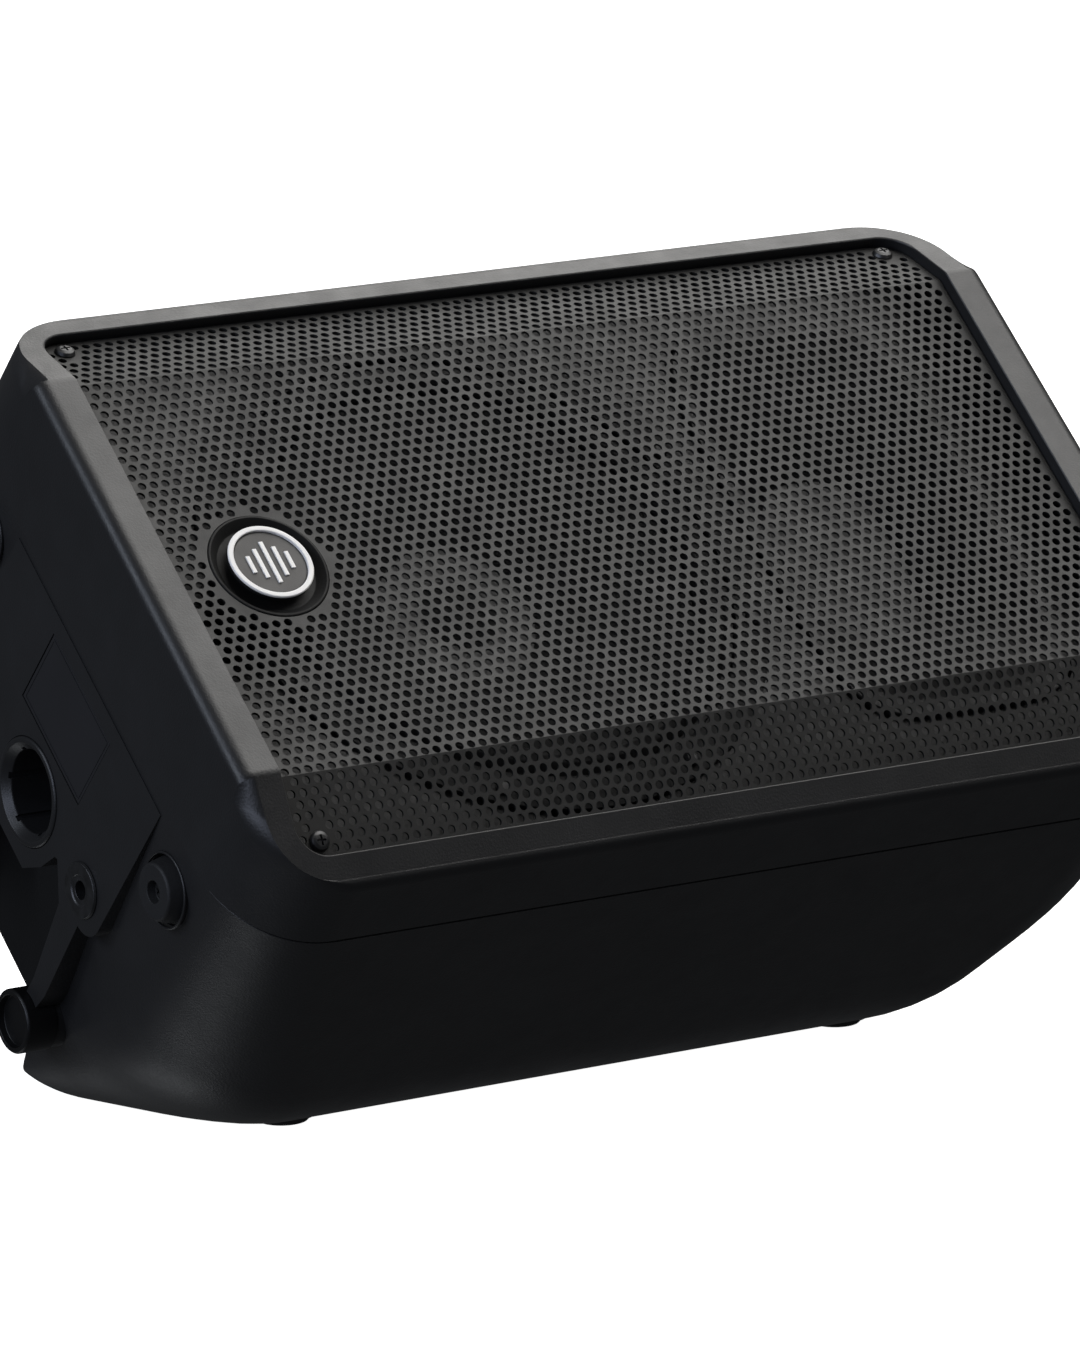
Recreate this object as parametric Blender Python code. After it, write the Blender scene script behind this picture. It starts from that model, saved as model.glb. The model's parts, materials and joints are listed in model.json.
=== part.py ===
"""Stage monitor wedge: a ten inch two-way powered loudspeaker lying on its rest side.

Every piece is drawn in the cabinet's own frame and parented to one empty that
lays the cabinet down.  In that frame x runs along the cabinet from its bottom
end (-x) to its top end (+x), y runs across it (up the slope when it lies as a
wedge) and z points out of the front.  Depths are measured back from the front
face, so depth d is at z = -d.  Sizes are in millimetres and MM turns them
into metres.
"""
import math

import bmesh
import bpy
from mathutils import Euler, Matrix, Vector

MM = 0.001
GAP = 0.3                    # clearance between touching pieces

# Overall cabinet
LENGTH = 490.0               # front shell, end to end
WIDTH = 308.0
DEPTH = 287.0
MONITOR_ANGLE = 49.0         # elevation of the front axis when it lies as a wedge
FEET_PLANE = 248.5           # end feet reach this far from the cabinet's middle

# Front shell and bezel
FLAT_HALF = 105.5            # half width of the flat middle of the front
STRIP_ANGLE = 23.5           # the front's two side strips fall back by this
EDGE_INSET = 6.8             # rounded outer edge, measured from the end faces
RIM_WIDTH = 12.6             # bezel width at the ends
STRIP_RIM = 10.2             # bezel width along the sides
PARTING = 60.0               # depth of the joint between the two shells
BAFFLE_FRONT = 30.0
BAFFLE_BACK = 36.0
WALL = 4.0

# Rear shell
REST_CREASE = 210.0          # depth where the rest face would meet the side
CREASE_SOFTNESS = 38.0
BOTTOM_LEAN = 0.08
TOP_LEAN = 0.02
TOP_BREAK = 134.0            # depth where the top end starts to slope
TOP_SLOPE = 0.58
REAR_ROUND = 12.0
CORNER = 45.0                # radius of the long corners where the shells meet
BOTTOM_FLARE = 0.20          # the corners grow by this much for each mm of depth,
TOP_FLARE = 0.035
BOTTOM_BACK = (30.0, 0.80)   # and near the back they come down to this radius
TOP_BACK = (30.0, 0.50)
END_X = 243.5

# Drivers
WOOFER_X = -62.0
HORN_X = 140.0

# Grille and badge
GRILLE_DEPTH = 5.5
GRILLE_THICK = 1.2
GRILLE_SCREW = (213.0, 132.0)
BADGE_X = -179.0

# Bottom end
PLATEAU_X = -243.5
POLE_DEPTH = 146.0
INSERT_Y = 55.4
INSERT_DEPTH = 142.8
FRONT_FOOT = (97.0, 89.0)    # half spacing and depth
REAR_POST = (60.0, 229.0)
POST_END = 233.5             # the posts stop here and carry rubber boots
TOP_INSERT = (83.0, 100.0)   # half spacing and depth on the top end
REST_FEET = ((-142.0, 234.0), (150.0, 234.0), (-112.0, 270.0), (96.0, 270.0))
LABEL_SIZE = (60.0, 42.0)
LABEL_DEPTH = 96.0

# Amplifier panel, seen from behind
AMP_CENTRE_X = -30.0
AMP_SIZE = (311.0, 109.0)
AMP_DEPTH = 277.0
SOCKETS_X = (-70.0, -36.0, -2.0)     # measured from the panel's middle
SOCKETS_Y = 30.0
KNOBS_Y = -4.0
BUTTONS_Y = -34.0
SOCKET_RADIUS = 11.6
INLET = (28.0, 20.0)
INLET_AT = (-118.0, 30.0)
ROCKER = (22.4, 13.4)
ROCKER_AT = (-118.0, -28.0)


def material(name, colour, roughness, metallic=0.0):
    mat = bpy.data.materials.new(name)
    mat.use_nodes = True
    shader = mat.node_tree.nodes["Principled BSDF"]
    shader.inputs["Base Color"].default_value = (*colour, 1.0)
    shader.inputs["Roughness"].default_value = roughness
    shader.inputs["Metallic"].default_value = metallic
    return mat


def start_scene():
    for obj in list(bpy.data.objects):
        bpy.data.objects.remove(obj)
    cabinet = bpy.data.objects.new("cabinet_frame", None)
    bpy.context.collection.objects.link(cabinet)
    cabinet.rotation_euler = (math.radians(90.0 - MONITOR_ANGLE), 0.0, 0.0)
    return cabinet


CABINET = start_scene()
SHELL = material("cabinet_plastic", (0.020, 0.021, 0.024), 0.55)
STEEL = material("grille_paint", (0.055, 0.055, 0.055), 0.45)
RUBBER = material("black_rubber", (0.010, 0.010, 0.010), 0.80)
ZINC = material("black_zinc", (0.10, 0.10, 0.10), 0.35, 0.9)
BADGE = material("badge_plastic", (0.75, 0.75, 0.75), 0.35)
CONE = material("cone_paper", (0.012, 0.012, 0.012), 0.85)
CASTING = material("basket_steel", (0.03, 0.03, 0.03), 0.5, 0.5)
FERRITE = material("magnet_ferrite", (0.04, 0.04, 0.045), 0.6)
PANEL = material("amp_panel_paint", (0.018, 0.018, 0.018), 0.5)
ALLOY = material("heatsink_alloy", (0.05, 0.05, 0.05), 0.45, 0.8)
GLOSS = material("control_plastic", (0.015, 0.015, 0.015), 0.3)
LENS = material("lens_plastic", (0.05, 0.30, 0.08), 0.2)
LABEL = material("label_film", (0.030, 0.030, 0.033), 0.4)


# ---------------------------------------------------------------- mesh tools

def finish(name, bm, mat, place=(0.0, 0.0, 0.0), turn=(0.0, 0.0, 0.0), sharp=32.0):
    """Turns a bmesh in millimetres into a named object in the cabinet frame."""
    bmesh.ops.remove_doubles(bm, verts=bm.verts, dist=1e-4)
    bmesh.ops.recalc_face_normals(bm, faces=bm.faces)
    bmesh.ops.scale(bm, vec=(MM, MM, MM), verts=bm.verts)
    mesh = bpy.data.meshes.new(name)
    bm.to_mesh(mesh)
    bm.free()
    mesh.materials.append(mat)
    mesh.shade_smooth()
    mesh.set_sharp_from_angle(angle=math.radians(sharp))
    obj = bpy.data.objects.new(name, mesh)
    bpy.context.collection.objects.link(obj)
    obj.parent = CABINET
    obj.location = Vector(place) * MM
    obj.rotation_euler = [math.radians(a) for a in turn]
    return obj


def copy_of(obj, name, place, turn=None):
    """A second piece that shares its mesh with the first."""
    twin = bpy.data.objects.new(name, obj.data)
    bpy.context.collection.objects.link(twin)
    twin.parent = CABINET
    twin.location = Vector(place) * MM
    twin.rotation_euler = obj.rotation_euler if turn is None else [math.radians(a) for a in turn]
    return twin


def join_rings(bm, rings, closed=False):
    """Bridges rings of points with equal counts; returns the rings as vertices."""
    loops = [[bm.verts.new(p) for p in ring] for ring in rings]
    pairs = list(zip(loops, loops[1:]))
    if closed:
        pairs.append((loops[-1], loops[0]))
    for first, second in pairs:
        count = len(first)
        for i in range(count):
            j = (i + 1) % count
            bm.faces.new((first[i], first[j], second[j], second[i]))
    return loops


def capped(rings):
    bm = bmesh.new()
    loops = join_rings(bm, rings)
    bm.faces.new(loops[0])
    bm.faces.new(loops[-1])
    return bm


def looped(rings):
    bm = bmesh.new()
    join_rings(bm, rings, closed=True)
    return bm


def turned(profile, steps=32):
    """Spins a closed (radius, height) profile round z."""
    bm = bmesh.new()
    verts = [bm.verts.new((r, 0.0, h)) for r, h in profile]
    edges = [bm.edges.new((a, b)) for a, b in zip(verts, verts[1:] + verts[:1])]
    bmesh.ops.spin(bm, geom=verts + edges, cent=(0, 0, 0), axis=(0, 0, 1),
                   angle=math.tau, steps=steps, use_merge=True)
    bmesh.ops.remove_doubles(bm, verts=bm.verts, dist=1e-4)
    bmesh.ops.dissolve_degenerate(bm, edges=bm.edges, dist=1e-4)
    loose = [v for v in bm.verts if not v.link_faces]
    bmesh.ops.delete(bm, geom=loose, context="VERTS")
    return bm


def box(size, centre=(0.0, 0.0, 0.0), bevel=0.0):
    bm = bmesh.new()
    scale = Matrix.Diagonal((*size, 1.0))
    bmesh.ops.create_cube(bm, size=1.0, matrix=Matrix.Translation(centre) @ scale)
    if bevel:
        bmesh.ops.bevel(bm, geom=list(bm.edges), offset=bevel, segments=2,
                        affect="EDGES", profile=0.5)
    return bm


def placed(bm, place, turn=(0.0, 0.0, 0.0)):
    """Moves a bmesh into the cabinet frame."""
    rotation = Euler([math.radians(a) for a in turn]).to_matrix().to_4x4()
    bm.transform(Matrix.Translation(place) @ rotation)
    return bm


def merged(shapes):
    """One bmesh that holds several shapes that don't touch."""
    whole = bmesh.new()
    for shape in shapes:
        spare = bpy.data.meshes.new("spare")
        shape.to_mesh(spare)
        shape.free()
        whole.from_mesh(spare)
        bpy.data.meshes.remove(spare)
    return whole


def cutter(name, bm, place=(0.0, 0.0, 0.0), turn=(0.0, 0.0, 0.0)):
    obj = finish(name, bm, SHELL, place, turn)
    obj.hide_render = True
    obj.display_type = "WIRE"
    return obj


def boolean(obj, tool, operation):
    mod = obj.modifiers.new(tool.name, "BOOLEAN")
    mod.operation = operation
    mod.object = tool
    return mod


def cut(obj, *tools):
    for tool in tools:
        boolean(obj, tool, "DIFFERENCE")


def add(obj, *tools):
    for tool in tools:
        boolean(obj, tool, "UNION")


def cylinder(radius, low, high, steps=32):
    return turned([(0.0, low), (radius, low), (radius, high), (0.0, high)], steps)


# ------------------------------------------------------------- cabinet shapes

def outline(low_x, high_x, half_y, r_low, r_high, folds=True, steps=8):
    """Rounded rectangle, anticlockwise from the top end's upper corner."""
    corners = ((high_x - r_high, half_y - r_high, r_high, 0),
               (low_x + r_low, half_y - r_low, r_low, 90),
               (low_x + r_low, r_low - half_y, r_low, 180),
               (high_x - r_high, r_high - half_y, r_high, 270))
    points = []
    for cx, cy, radius, start in corners:
        if folds and start == 0:
            points.append((high_x, FLAT_HALF))
        for k in range(steps + 1):
            angle = math.radians(start + 90.0 * k / steps)
            points.append((cx + radius * math.cos(angle), cy + radius * math.sin(angle)))
        if folds and start == 90:
            points.append((low_x, FLAT_HALF))
            points.append((low_x, -FLAT_HALF))
        if folds and start == 270:
            points.append((high_x, -FLAT_HALF))
    return points


def centred_outline(half_x, half_y, radius, folds=True, steps=8):
    return outline(-half_x, half_x, half_y, radius, radius, folds, steps)


def front_drop(y):
    """How far the front surface has fallen back at a distance y across it."""
    return max(abs(y) - FLAT_HALF, 0.0) * math.tan(math.radians(STRIP_ANGLE))


def on_front(points, depth):
    return [(x, y, -front_drop(y) - depth) for x, y in points]


def at_depth(points, depth):
    return [(x, y, -depth) for x, y in points]


def soft_minimum(a, b, softness):
    blend = min(max(0.5 + 0.5 * (b - a) / softness, 0.0), 1.0)
    return b * (1.0 - blend) + a * blend - softness * blend * (1.0 - blend)


def body_half_width(depth):
    slope = math.tan(math.radians(MONITOR_ANGLE))
    straight = WIDTH / 2
    tapered = straight - (depth - REST_CREASE) * slope
    return soft_minimum(straight, tapered, CREASE_SOFTNESS)


def corner_radius(depth, growth, back):
    """Radius of the long corners; it swells towards the rest face, then closes in."""
    grown = CORNER + growth * (depth - PARTING)
    closing = back[0] + back[1] * (DEPTH - depth)
    return soft_minimum(grown, closing, 12.0)


def body_outline(depth, inset, steps=8):
    """Section of the rear shell at a depth, moved inwards by inset."""
    half = body_half_width(depth) - inset
    low = -END_X + BOTTOM_LEAN * (depth - PARTING) + inset
    straight = END_X - TOP_LEAN * (depth - PARTING)
    sloped = straight - (depth - TOP_BREAK) * TOP_SLOPE
    high = soft_minimum(straight, sloped, 12.0) - inset
    r_low = corner_radius(depth, BOTTOM_FLARE, BOTTOM_BACK) - inset
    r_high = corner_radius(depth, TOP_FLARE, TOP_BACK) - inset
    return outline(low, high, half, r_low, r_high, folds=False, steps=steps)


def body_rings(inset, start, stop, steps=8):
    rings = []
    for depth in (start, 95, 125, 145, 165, 180, 192, 204, 216, 228, 240, 255):
        rings.append(at_depth(body_outline(depth, inset, steps), depth))
    radius = REAR_ROUND - inset
    for k in range(6):
        angle = math.radians(90.0 * k / 5)
        depth = stop - radius + radius * math.sin(angle)
        step_in = inset + radius * (1.0 - math.cos(angle))
        rings.append(at_depth(body_outline(depth, step_in, steps), depth))
    return rings


# ---------------------------------------------------------------- the pieces

def make_front_shell():
    opening = centred_outline(LENGTH / 2 - EDGE_INSET - RIM_WIDTH, 150.6 - STRIP_RIM, 14.0)
    edge = centred_outline(LENGTH / 2 - EDGE_INSET, 150.6, 28.0)
    wall = centred_outline(LENGTH / 2, WIDTH / 2, CORNER)
    inner = centred_outline(LENGTH / 2 - WALL, WIDTH / 2 - WALL, CORNER - WALL)
    rings = [at_depth(opening, BAFFLE_FRONT), on_front(opening, 0.0)]
    for k in range(5):
        angle = math.radians(90.0 * k / 4)
        ring = []
        for (ex, ey), (wx, wy) in zip(edge, wall):
            x = ex + (wx - ex) * math.sin(angle)
            y = ey + (wy - ey) * math.sin(angle)
            ring.append((x, y, -front_drop(ey) - 6.0 * (1.0 - math.cos(angle))))
        rings.append(ring)
    rings.append(at_depth(wall, PARTING))
    rings.append(at_depth(inner, PARTING))
    rings.append(at_depth(inner, BAFFLE_BACK))
    shell = finish("front_shell", capped(rings), SHELL)
    woofer_hole = cutter("cut_woofer_hole", cylinder(118.0, -50.0, -20.0, 48), (WOOFER_X, 0, 0))
    mouth = centred_outline(61.0, 106.0, 20.0, folds=False, steps=6)
    horn_hole = cutter("cut_horn_hole", capped([at_depth(mouth, 20.0), at_depth(mouth, 50.0)]),
                       (HORN_X, 0, 0))
    cut(shell, woofer_hole, horn_hole)


def split_cap(bm, loop):
    """Fills a ring that is folded along y = +-FLAT_HALF with three flat faces."""
    face = bm.faces.new(loop)
    for side in (FLAT_HALF, -FLAT_HALF):
        pair = [v for v in loop if abs(v.co.y - side) < 1e-4]
        bmesh.ops.connect_verts(bm, verts=pair)
    return face


def folded_sheet(name, half_x, half_y, radius, depth, thick, mat):
    points = centred_outline(half_x, half_y, radius)
    bm = bmesh.new()
    loops = join_rings(bm, [on_front(points, depth), on_front(points, depth + thick)])
    for loop in loops:
        split_cap(bm, loop)
    return finish(name, bm, mat, sharp=15.0)


def make_grille():
    half_x = LENGTH / 2 - EDGE_INSET - RIM_WIDTH - 0.6
    half_y = 150.6 - STRIP_RIM - 0.6
    grille = folded_sheet("grille", half_x, half_y, 13.4, GRILLE_DEPTH, GRILLE_THICK, STEEL)
    badge_hole = cutter("cut_badge_hole", cylinder(27.2, -20.0, 5.0), (BADGE_X, 0, 0))
    cut(grille, badge_hole)
    sx, sy = GRILLE_SCREW
    plane = front_drop(sy) + GRILLE_DEPTH
    head = [(0, 2.6), (3.0, 2.4), (4.7, 0.3), (2.0, 0.3), (2.0, -7.0), (0, -7.0)]
    first = None
    for n, (kx, ky) in enumerate(((-1, 1), (1, 1), (-1, -1), (1, -1)), start=1):
        place = (kx * sx, ky * sy, -plane)
        tilt = (-ky * STRIP_ANGLE, 0, 0)
        hole = cutter(f"cut_grille_screw_{n}", cylinder(2.4, -15.0, 5.0, 12), place, tilt)
        cut(grille, hole)
        name = f"grille_screw_{n}"
        if first is None:
            first = finish(name, turned(head, 12), ZINC, place, tilt)
        else:
            copy_of(first, name, place, tilt)


def make_badge():
    cup = [(0, -10.5), (26.9, -10.5), (26.9, -5.2), (25.9, -4.9), (22.0, -8.4), (5.6, -8.4),
           (5.6, -9.6), (0, -9.6)]
    finish("badge_cup", turned(cup, 28), GLOSS, (BADGE_X, 0, 0))
    disc = [(0, -2.0), (18.4, -2.0), (19.2, -2.8), (19.2, -4.6), (18.6, -5.2), (5.2, -5.2),
            (5.2, -9.2), (0, -9.2)]
    finish("badge", turned(disc, 28), BADGE, (BADGE_X, 0, 0))


def make_woofer():
    place = (WOOFER_X, 0, 0)
    frame = [(115.5, -26.8), (131.0, -26.8), (131.0, -29.7), (116.8, -29.7), (116.0, -38.0),
             (64.0, -86.0), (64.0, -90.0), (46.0, -90.0), (46.0, -86.5), (60.5, -82.5),
             (112.5, -36.0), (112.5, -30.4), (115.5, -30.4)]
    finish("woofer_frame", turned(frame, 32), CASTING, place)
    magnet = [(23.0, -90.3), (70.0, -90.3), (70.0, -112.0), (62.0, -112.5), (62.0, -118.0),
              (12.0, -118.0), (12.0, -112.0), (23.0, -112.0)]
    finish("woofer_magnet", turned(magnet, 28), FERRITE, place)
    surround = [(97.6, -29.2), (100.5, -25.4), (105.0, -23.2), (109.5, -25.4), (112.0, -28.8),
                (115.0, -28.8), (115.0, -30.0), (111.0, -30.0), (105.0, -25.0), (98.8, -30.4),
                (97.6, -30.4)]
    finish("woofer_surround", turned(surround, 32), RUBBER, place)
    cone = [(0.0, -56.0), (14.0, -58.5), (27.0, -66.0), (60.0, -47.5), (97.0, -29.4),
            (97.0, -30.8), (60.0, -49.4), (22.0, -71.6), (21.4, -84.0), (20.4, -84.0),
            (20.4, -66.0), (12.0, -60.6), (0.0, -58.2)]
    finish("woofer_cone", turned(cone, 32), CONE, place)


def horn_section(depth, grow=0.0):
    """The waveguide's section, from a wide mouth to a round throat."""
    share = (depth - 27.0) / 65.0
    flare = (1.0 - share) ** 1.6
    half_x = 17.0 + 41.0 * flare + grow
    half_y = 17.0 + 86.0 * flare + grow
    power = 2.0 + 2.6 * flare
    points = []
    for k in range(32):
        angle = math.tau * k / 32
        c, s = math.cos(angle), math.sin(angle)
        x = half_x * math.copysign(abs(c) ** (2.0 / power), c)
        y = half_y * math.copysign(abs(s) ** (2.0 / power), s)
        points.append((x, y, -depth))
    return points


def make_horn():
    depths = (27.0, 31.0, 40.0, 54.0, 72.0, 92.0)
    inside = [horn_section(d) for d in depths]
    outside = [horn_section(d, 2.6) for d in reversed(depths[2:])]
    back = [(p[0], p[1], -29.7) for p in horn_section(31.0, 2.6)]
    flange_back = [(p[0], p[1], -29.7) for p in horn_section(27.0, 7.5)]
    flange_front = [(p[0], p[1], -26.8) for p in horn_section(27.0, 7.5)]
    rings = inside + outside + [back, flange_back, flange_front]
    finish("horn", looped(rings), SHELL, (HORN_X, 0, 0))
    driver = [(0, -96.0), (16.0, -96.0), (17.0, -92.3), (30.0, -92.3), (46.0, -98.0), (46.0, -128.0),
              (36.0, -133.0), (0, -133.0)]
    finish("compression_driver", turned(driver, 24), FERRITE, (HORN_X, 0, 0))


def on_end(bm, y, depth):
    """Turns a shape so that its local z points out of the bottom end."""
    return placed(bm, (0, y, -depth), (0, -90, 0))


def both_sides(make, spot):
    """A shape on the bottom end at a (half spacing, depth), and its twin."""
    return [on_end(make(), side * spot[0], spot[1]) for side in (1, -1)]


def make_rear_shell():
    """The deep rear half, hollow, with its walls kept round every recess."""
    shell = finish("rear_shell", capped(body_rings(0.0, PARTING + GAP, DEPTH)), SHELL)
    hollow = cutter("cut_hollow", capped(body_rings(WALL, PARTING - 10.0, DEPTH - WALL, 5)))
    seats = cutter("add_rest_seats", merged(rest_seats()))
    rim = box((AMP_SIZE[0] + 9.0, AMP_SIZE[1] + 9.0, 24.0), (AMP_CENTRE_X, 0, -280.0))
    bosses = both_sides(lambda: cylinder(19.5, 232.0, 260.0), FRONT_FOOT)
    keep = merged([notch_shape(WALL), pocket_shape(WALL), *bosses])
    cut(hollow, seats, cutter("keep_walls", keep), cutter("keep_amp_rim", rim))
    add(shell, cutter("add_plateau", plateau_shape()), seats)
    cut(shell, cutter("cut_recesses", merged([notch_shape(0.0), pocket_shape(0.0)])), hollow)
    posts = both_sides(lambda: cylinder(13.6, 200.0, POST_END + 8.0), REAR_POST)
    add(shell, cutter("add_posts", merged(posts)))
    return shell


def rest_seats():
    seat = [(0, -9.5), (15.0, -9.5), (15.0, -1.0), (0, -1.0)]
    return [placed(turned(seat, 24), *rest_foot_place(*spot)) for spot in REST_FEET]


def open_rear_shell(shell):
    """The holes in the rear shell that other pieces stand in."""
    seat = box((AMP_SIZE[0] + 1.0, AMP_SIZE[1] + 1.0, 40.0), (0, 0, 20.0 - 2.0 - GAP))
    window = box((AMP_SIZE[0] - 15.0, AMP_SIZE[1] - 13.0, 60.0))
    cut(shell, cutter("cut_amp_seat", on_panel(seat)))
    screw_holes = [on_panel(cylinder(1.9, -6.4, 20.0, 10), x, y) for x, y in panel_corners()]
    cut(shell, cutter("cut_amp_window", merged([on_panel(window), *screw_holes])))
    label = box((LABEL_SIZE[1], LABEL_SIZE[0], 2.2), (0, 0, -PLATEAU_X))
    holes = [on_end(cylinder(24.4, 150.0, 260.0), 0.0, POLE_DEPTH), on_end(label, 0.0, LABEL_DEPTH)]
    holes += both_sides(lambda: cylinder(15.6, 236.5, 260.0), FRONT_FOOT)
    holes += both_sides(lambda: cylinder(14.6, POST_END, 260.0), REAR_POST)
    holes += both_sides(lambda: cylinder(8.3, 150.0, 260.0, 16), (INSERT_Y, INSERT_DEPTH))
    for side in (1, -1):
        place = (0, side * TOP_INSERT[0], -TOP_INSERT[1])
        holes.append(placed(cylinder(8.3, 150.0, 260.0, 16), place, (0, 90, 0)))
    recess = [(0, -5.3), (12.3, -5.3), (12.3, 8.0), (0, 8.0)]
    holes += [placed(turned(recess, 24), *rest_foot_place(*spot)) for spot in REST_FEET]
    cut(shell, cutter("cut_holes", merged(holes)))


def plateau_shape():
    """The flat raised pad on the bottom end, with a rib out to each post."""
    front, back, half = 66.0, 158.0, 75.0
    points = [(-half, front), (-half, back - 12.0), (-half + 4.0, back - 4.0), (-half + 12.0, back),
              (-65.5, 205.0), (-62.0, 228.0), (-44.0, 228.0), (-40.0, 184.0)]
    points = points + [(-y, d) for y, d in reversed(points)]
    return capped([[(x, y, -d) for y, d in points] for x in (PLATEAU_X, -228.0)])


def notch_shape(grow):
    """The cut-away between the two rear posts; it bends round the pole cup."""
    if grow:
        half = [(58.5, 384.0), (58.5, 205.5), (50.8, 161.0), (36.0, 144.0), (31.0, 144.0),
                (24.0, 158.0), (14.0, 172.0)]
    else:
        half = [(54.5, 380.0), (54.5, 206.0), (47.0, 163.0), (34.0, 149.0), (32.0, 150.0),
                (27.5, 163.0), (18.0, 176.0)]
    points = half + [(-y, d) for y, d in reversed(half)]
    return capped([[(x, y, -d) for y, d in points] for x in (-295.0, -195.0 + grow)])


def pocket_shape(grow):
    """The hand hold in the sloping top end."""
    half, low, high, floor = 56.0 + grow, 150.0 - grow, 216.0 + grow, 186.0 - grow
    return box((200.0, 2 * half, high - low), (floor + 100.0, 0, -(low + high) / 2))


def make_end_pieces():
    cup = [(0, 172.0), (0, 168.0), (22.0, 168.0), (24.1, 170.0), (24.1, 243.9), (23.2, 244.6),
           (21.6, 244.6), (18.2, 241.0), (18.2, 172.0)]
    finish("pole_cup", turned(cup, 32), SHELL, (0, 0, -POLE_DEPTH), (0, -90, 0))
    insert = [(0, 234.0), (0, 230.0), (8.0, 230.0), (8.0, 243.8), (12.6, 243.8), (12.0, 245.0),
              (4.2, 245.0), (4.2, 234.0)]
    first = finish("rigging_insert_1", turned(insert, 16), ZINC,
                   (0, -INSERT_Y, -INSERT_DEPTH), (0, -90, 0))
    copy_of(first, "rigging_insert_2", (0, INSERT_Y, -INSERT_DEPTH))
    copy_of(first, "rigging_insert_3", (-0.5, -TOP_INSERT[0], -TOP_INSERT[1]), (0, 90, 0))
    copy_of(first, "rigging_insert_4", (-0.5, TOP_INSERT[0], -TOP_INSERT[1]), (0, 90, 0))
    foot = [(0, 236.8), (15.0, 236.8), (14.6, 240.0), (12.4, FEET_PLANE - 0.8),
            (11.6, FEET_PLANE), (5.0, FEET_PLANE), (4.4, FEET_PLANE - 4.0), (0, FEET_PLANE - 4.0)]
    y, depth = FRONT_FOOT
    first = finish("front_foot_1", turned(foot, 24), RUBBER, (0, -y, -depth), (0, -90, 0))
    copy_of(first, "front_foot_2", (0, y, -depth))
    boot = [(0, POST_END + GAP), (14.2, POST_END + GAP), (14.2, FEET_PLANE - 1.0), (13.4, FEET_PLANE),
            (11.6, FEET_PLANE), (11.0, FEET_PLANE - 3.0), (0, FEET_PLANE - 3.0)]
    y, depth = REAR_POST
    first = finish("rear_foot_1", turned(boot, 24), RUBBER, (0, -y, -depth), (0, -90, 0))
    copy_of(first, "rear_foot_2", (0, y, -depth))
    label = box((LABEL_SIZE[1] - 0.8, LABEL_SIZE[0] - 0.8, 0.6), (0, 0, 242.4 + GAP + 0.3))
    finish("label_plate", label, LABEL, (0, 0, -LABEL_DEPTH), (0, -90, 0))


def rest_foot_place(x, depth):
    """Where a foot sits on the rest face, and the turn that faces it down."""
    angle = math.radians(MONITOR_ANGLE)
    slope = math.tan(angle)
    y = -(WIDTH / 2 - (depth - REST_CREASE) * slope)
    return (x, y, -depth), (90.0 + MONITOR_ANGLE, 0, 0)


def make_rest_feet():
    """Four rubber feet on the rest face; each stands in a shallow seat."""
    foot = [(0, -5.0), (12.0, -5.0), (12.0, 0.9), (11.0, 1.9), (0, 1.9)]
    spots = [rest_foot_place(*spot) for spot in REST_FEET]
    first = finish("rest_foot_1", turned(foot, 20), RUBBER, *spots[0])
    for n, spot in enumerate(spots[1:], start=2):
        copy_of(first, f"rest_foot_{n}", *spot)


def make_carry_handle():
    bar = box((22.0, 111.4, 27.0), (0, 0, 0), bevel=5.0)
    slope = math.degrees(math.atan(TOP_SLOPE))
    finish("carry_handle", bar, SHELL, (213.0, 0, -168.0), (0, slope, 0))


def panel_piece(name, bm, mat, x=0.0, y=0.0):
    """A piece on the amplifier panel: its local z points out of the back."""
    return finish(name, bm, mat, (AMP_CENTRE_X + x, y, -AMP_DEPTH), (180, 0, 0))


def panel_copy(first, name, x, y):
    return copy_of(first, name, (AMP_CENTRE_X + x, y, -AMP_DEPTH))


def on_panel(bm, x=0.0, y=0.0):
    """Places a shape in the same way as a panel piece."""
    return placed(bm, (AMP_CENTRE_X + x, y, -AMP_DEPTH), (180, 0, 0))


def panel_corners():
    x, y = AMP_SIZE[0] / 2 - 4.4, AMP_SIZE[1] / 2 - 4.4
    return ((-x, y), (x, y), (-x, -y), (x, -y))


def make_amplifier():
    make_panel()
    make_chassis()
    make_heat_sink()
    make_inlet()
    make_rocker()
    make_sockets()
    make_controls()


def make_panel():
    """The amplifier panel with its holes, and the four screws that hold it."""
    panel = panel_piece("amp_panel", box((AMP_SIZE[0], AMP_SIZE[1], 2.0), (0, 0, -1.0)), PANEL)
    holes = [on_panel(box((INLET[0] + 0.6, INLET[1] + 0.6, 20.0)), *INLET_AT),
             on_panel(box((ROCKER[0], ROCKER[1], 20.0)), *ROCKER_AT)]
    for x in SOCKETS_X:
        holes.append(on_panel(cylinder(SOCKET_RADIUS + GAP, -20.0, 20.0, 20), x, SOCKETS_Y))
        holes.append(on_panel(box((8.0, 8.0, 20.0)), x, BUTTONS_Y))
    for x, y in panel_corners():
        holes.append(on_panel(cylinder(1.9, -10.0, 10.0, 10), x, y))
    cut(panel, cutter("cut_panel_holes", merged(holes)))
    screw = [(0, 2.2), (2.4, 2.2), (3.6, 0.3), (1.5, 0.3), (1.5, -6.0), (0, -6.0)]
    corners = panel_corners()
    first = panel_piece("panel_screw_1", turned(screw, 12), ZINC, *corners[0])
    for n, corner in enumerate(corners[1:], start=2):
        panel_copy(first, f"panel_screw_{n}", *corner)


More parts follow.
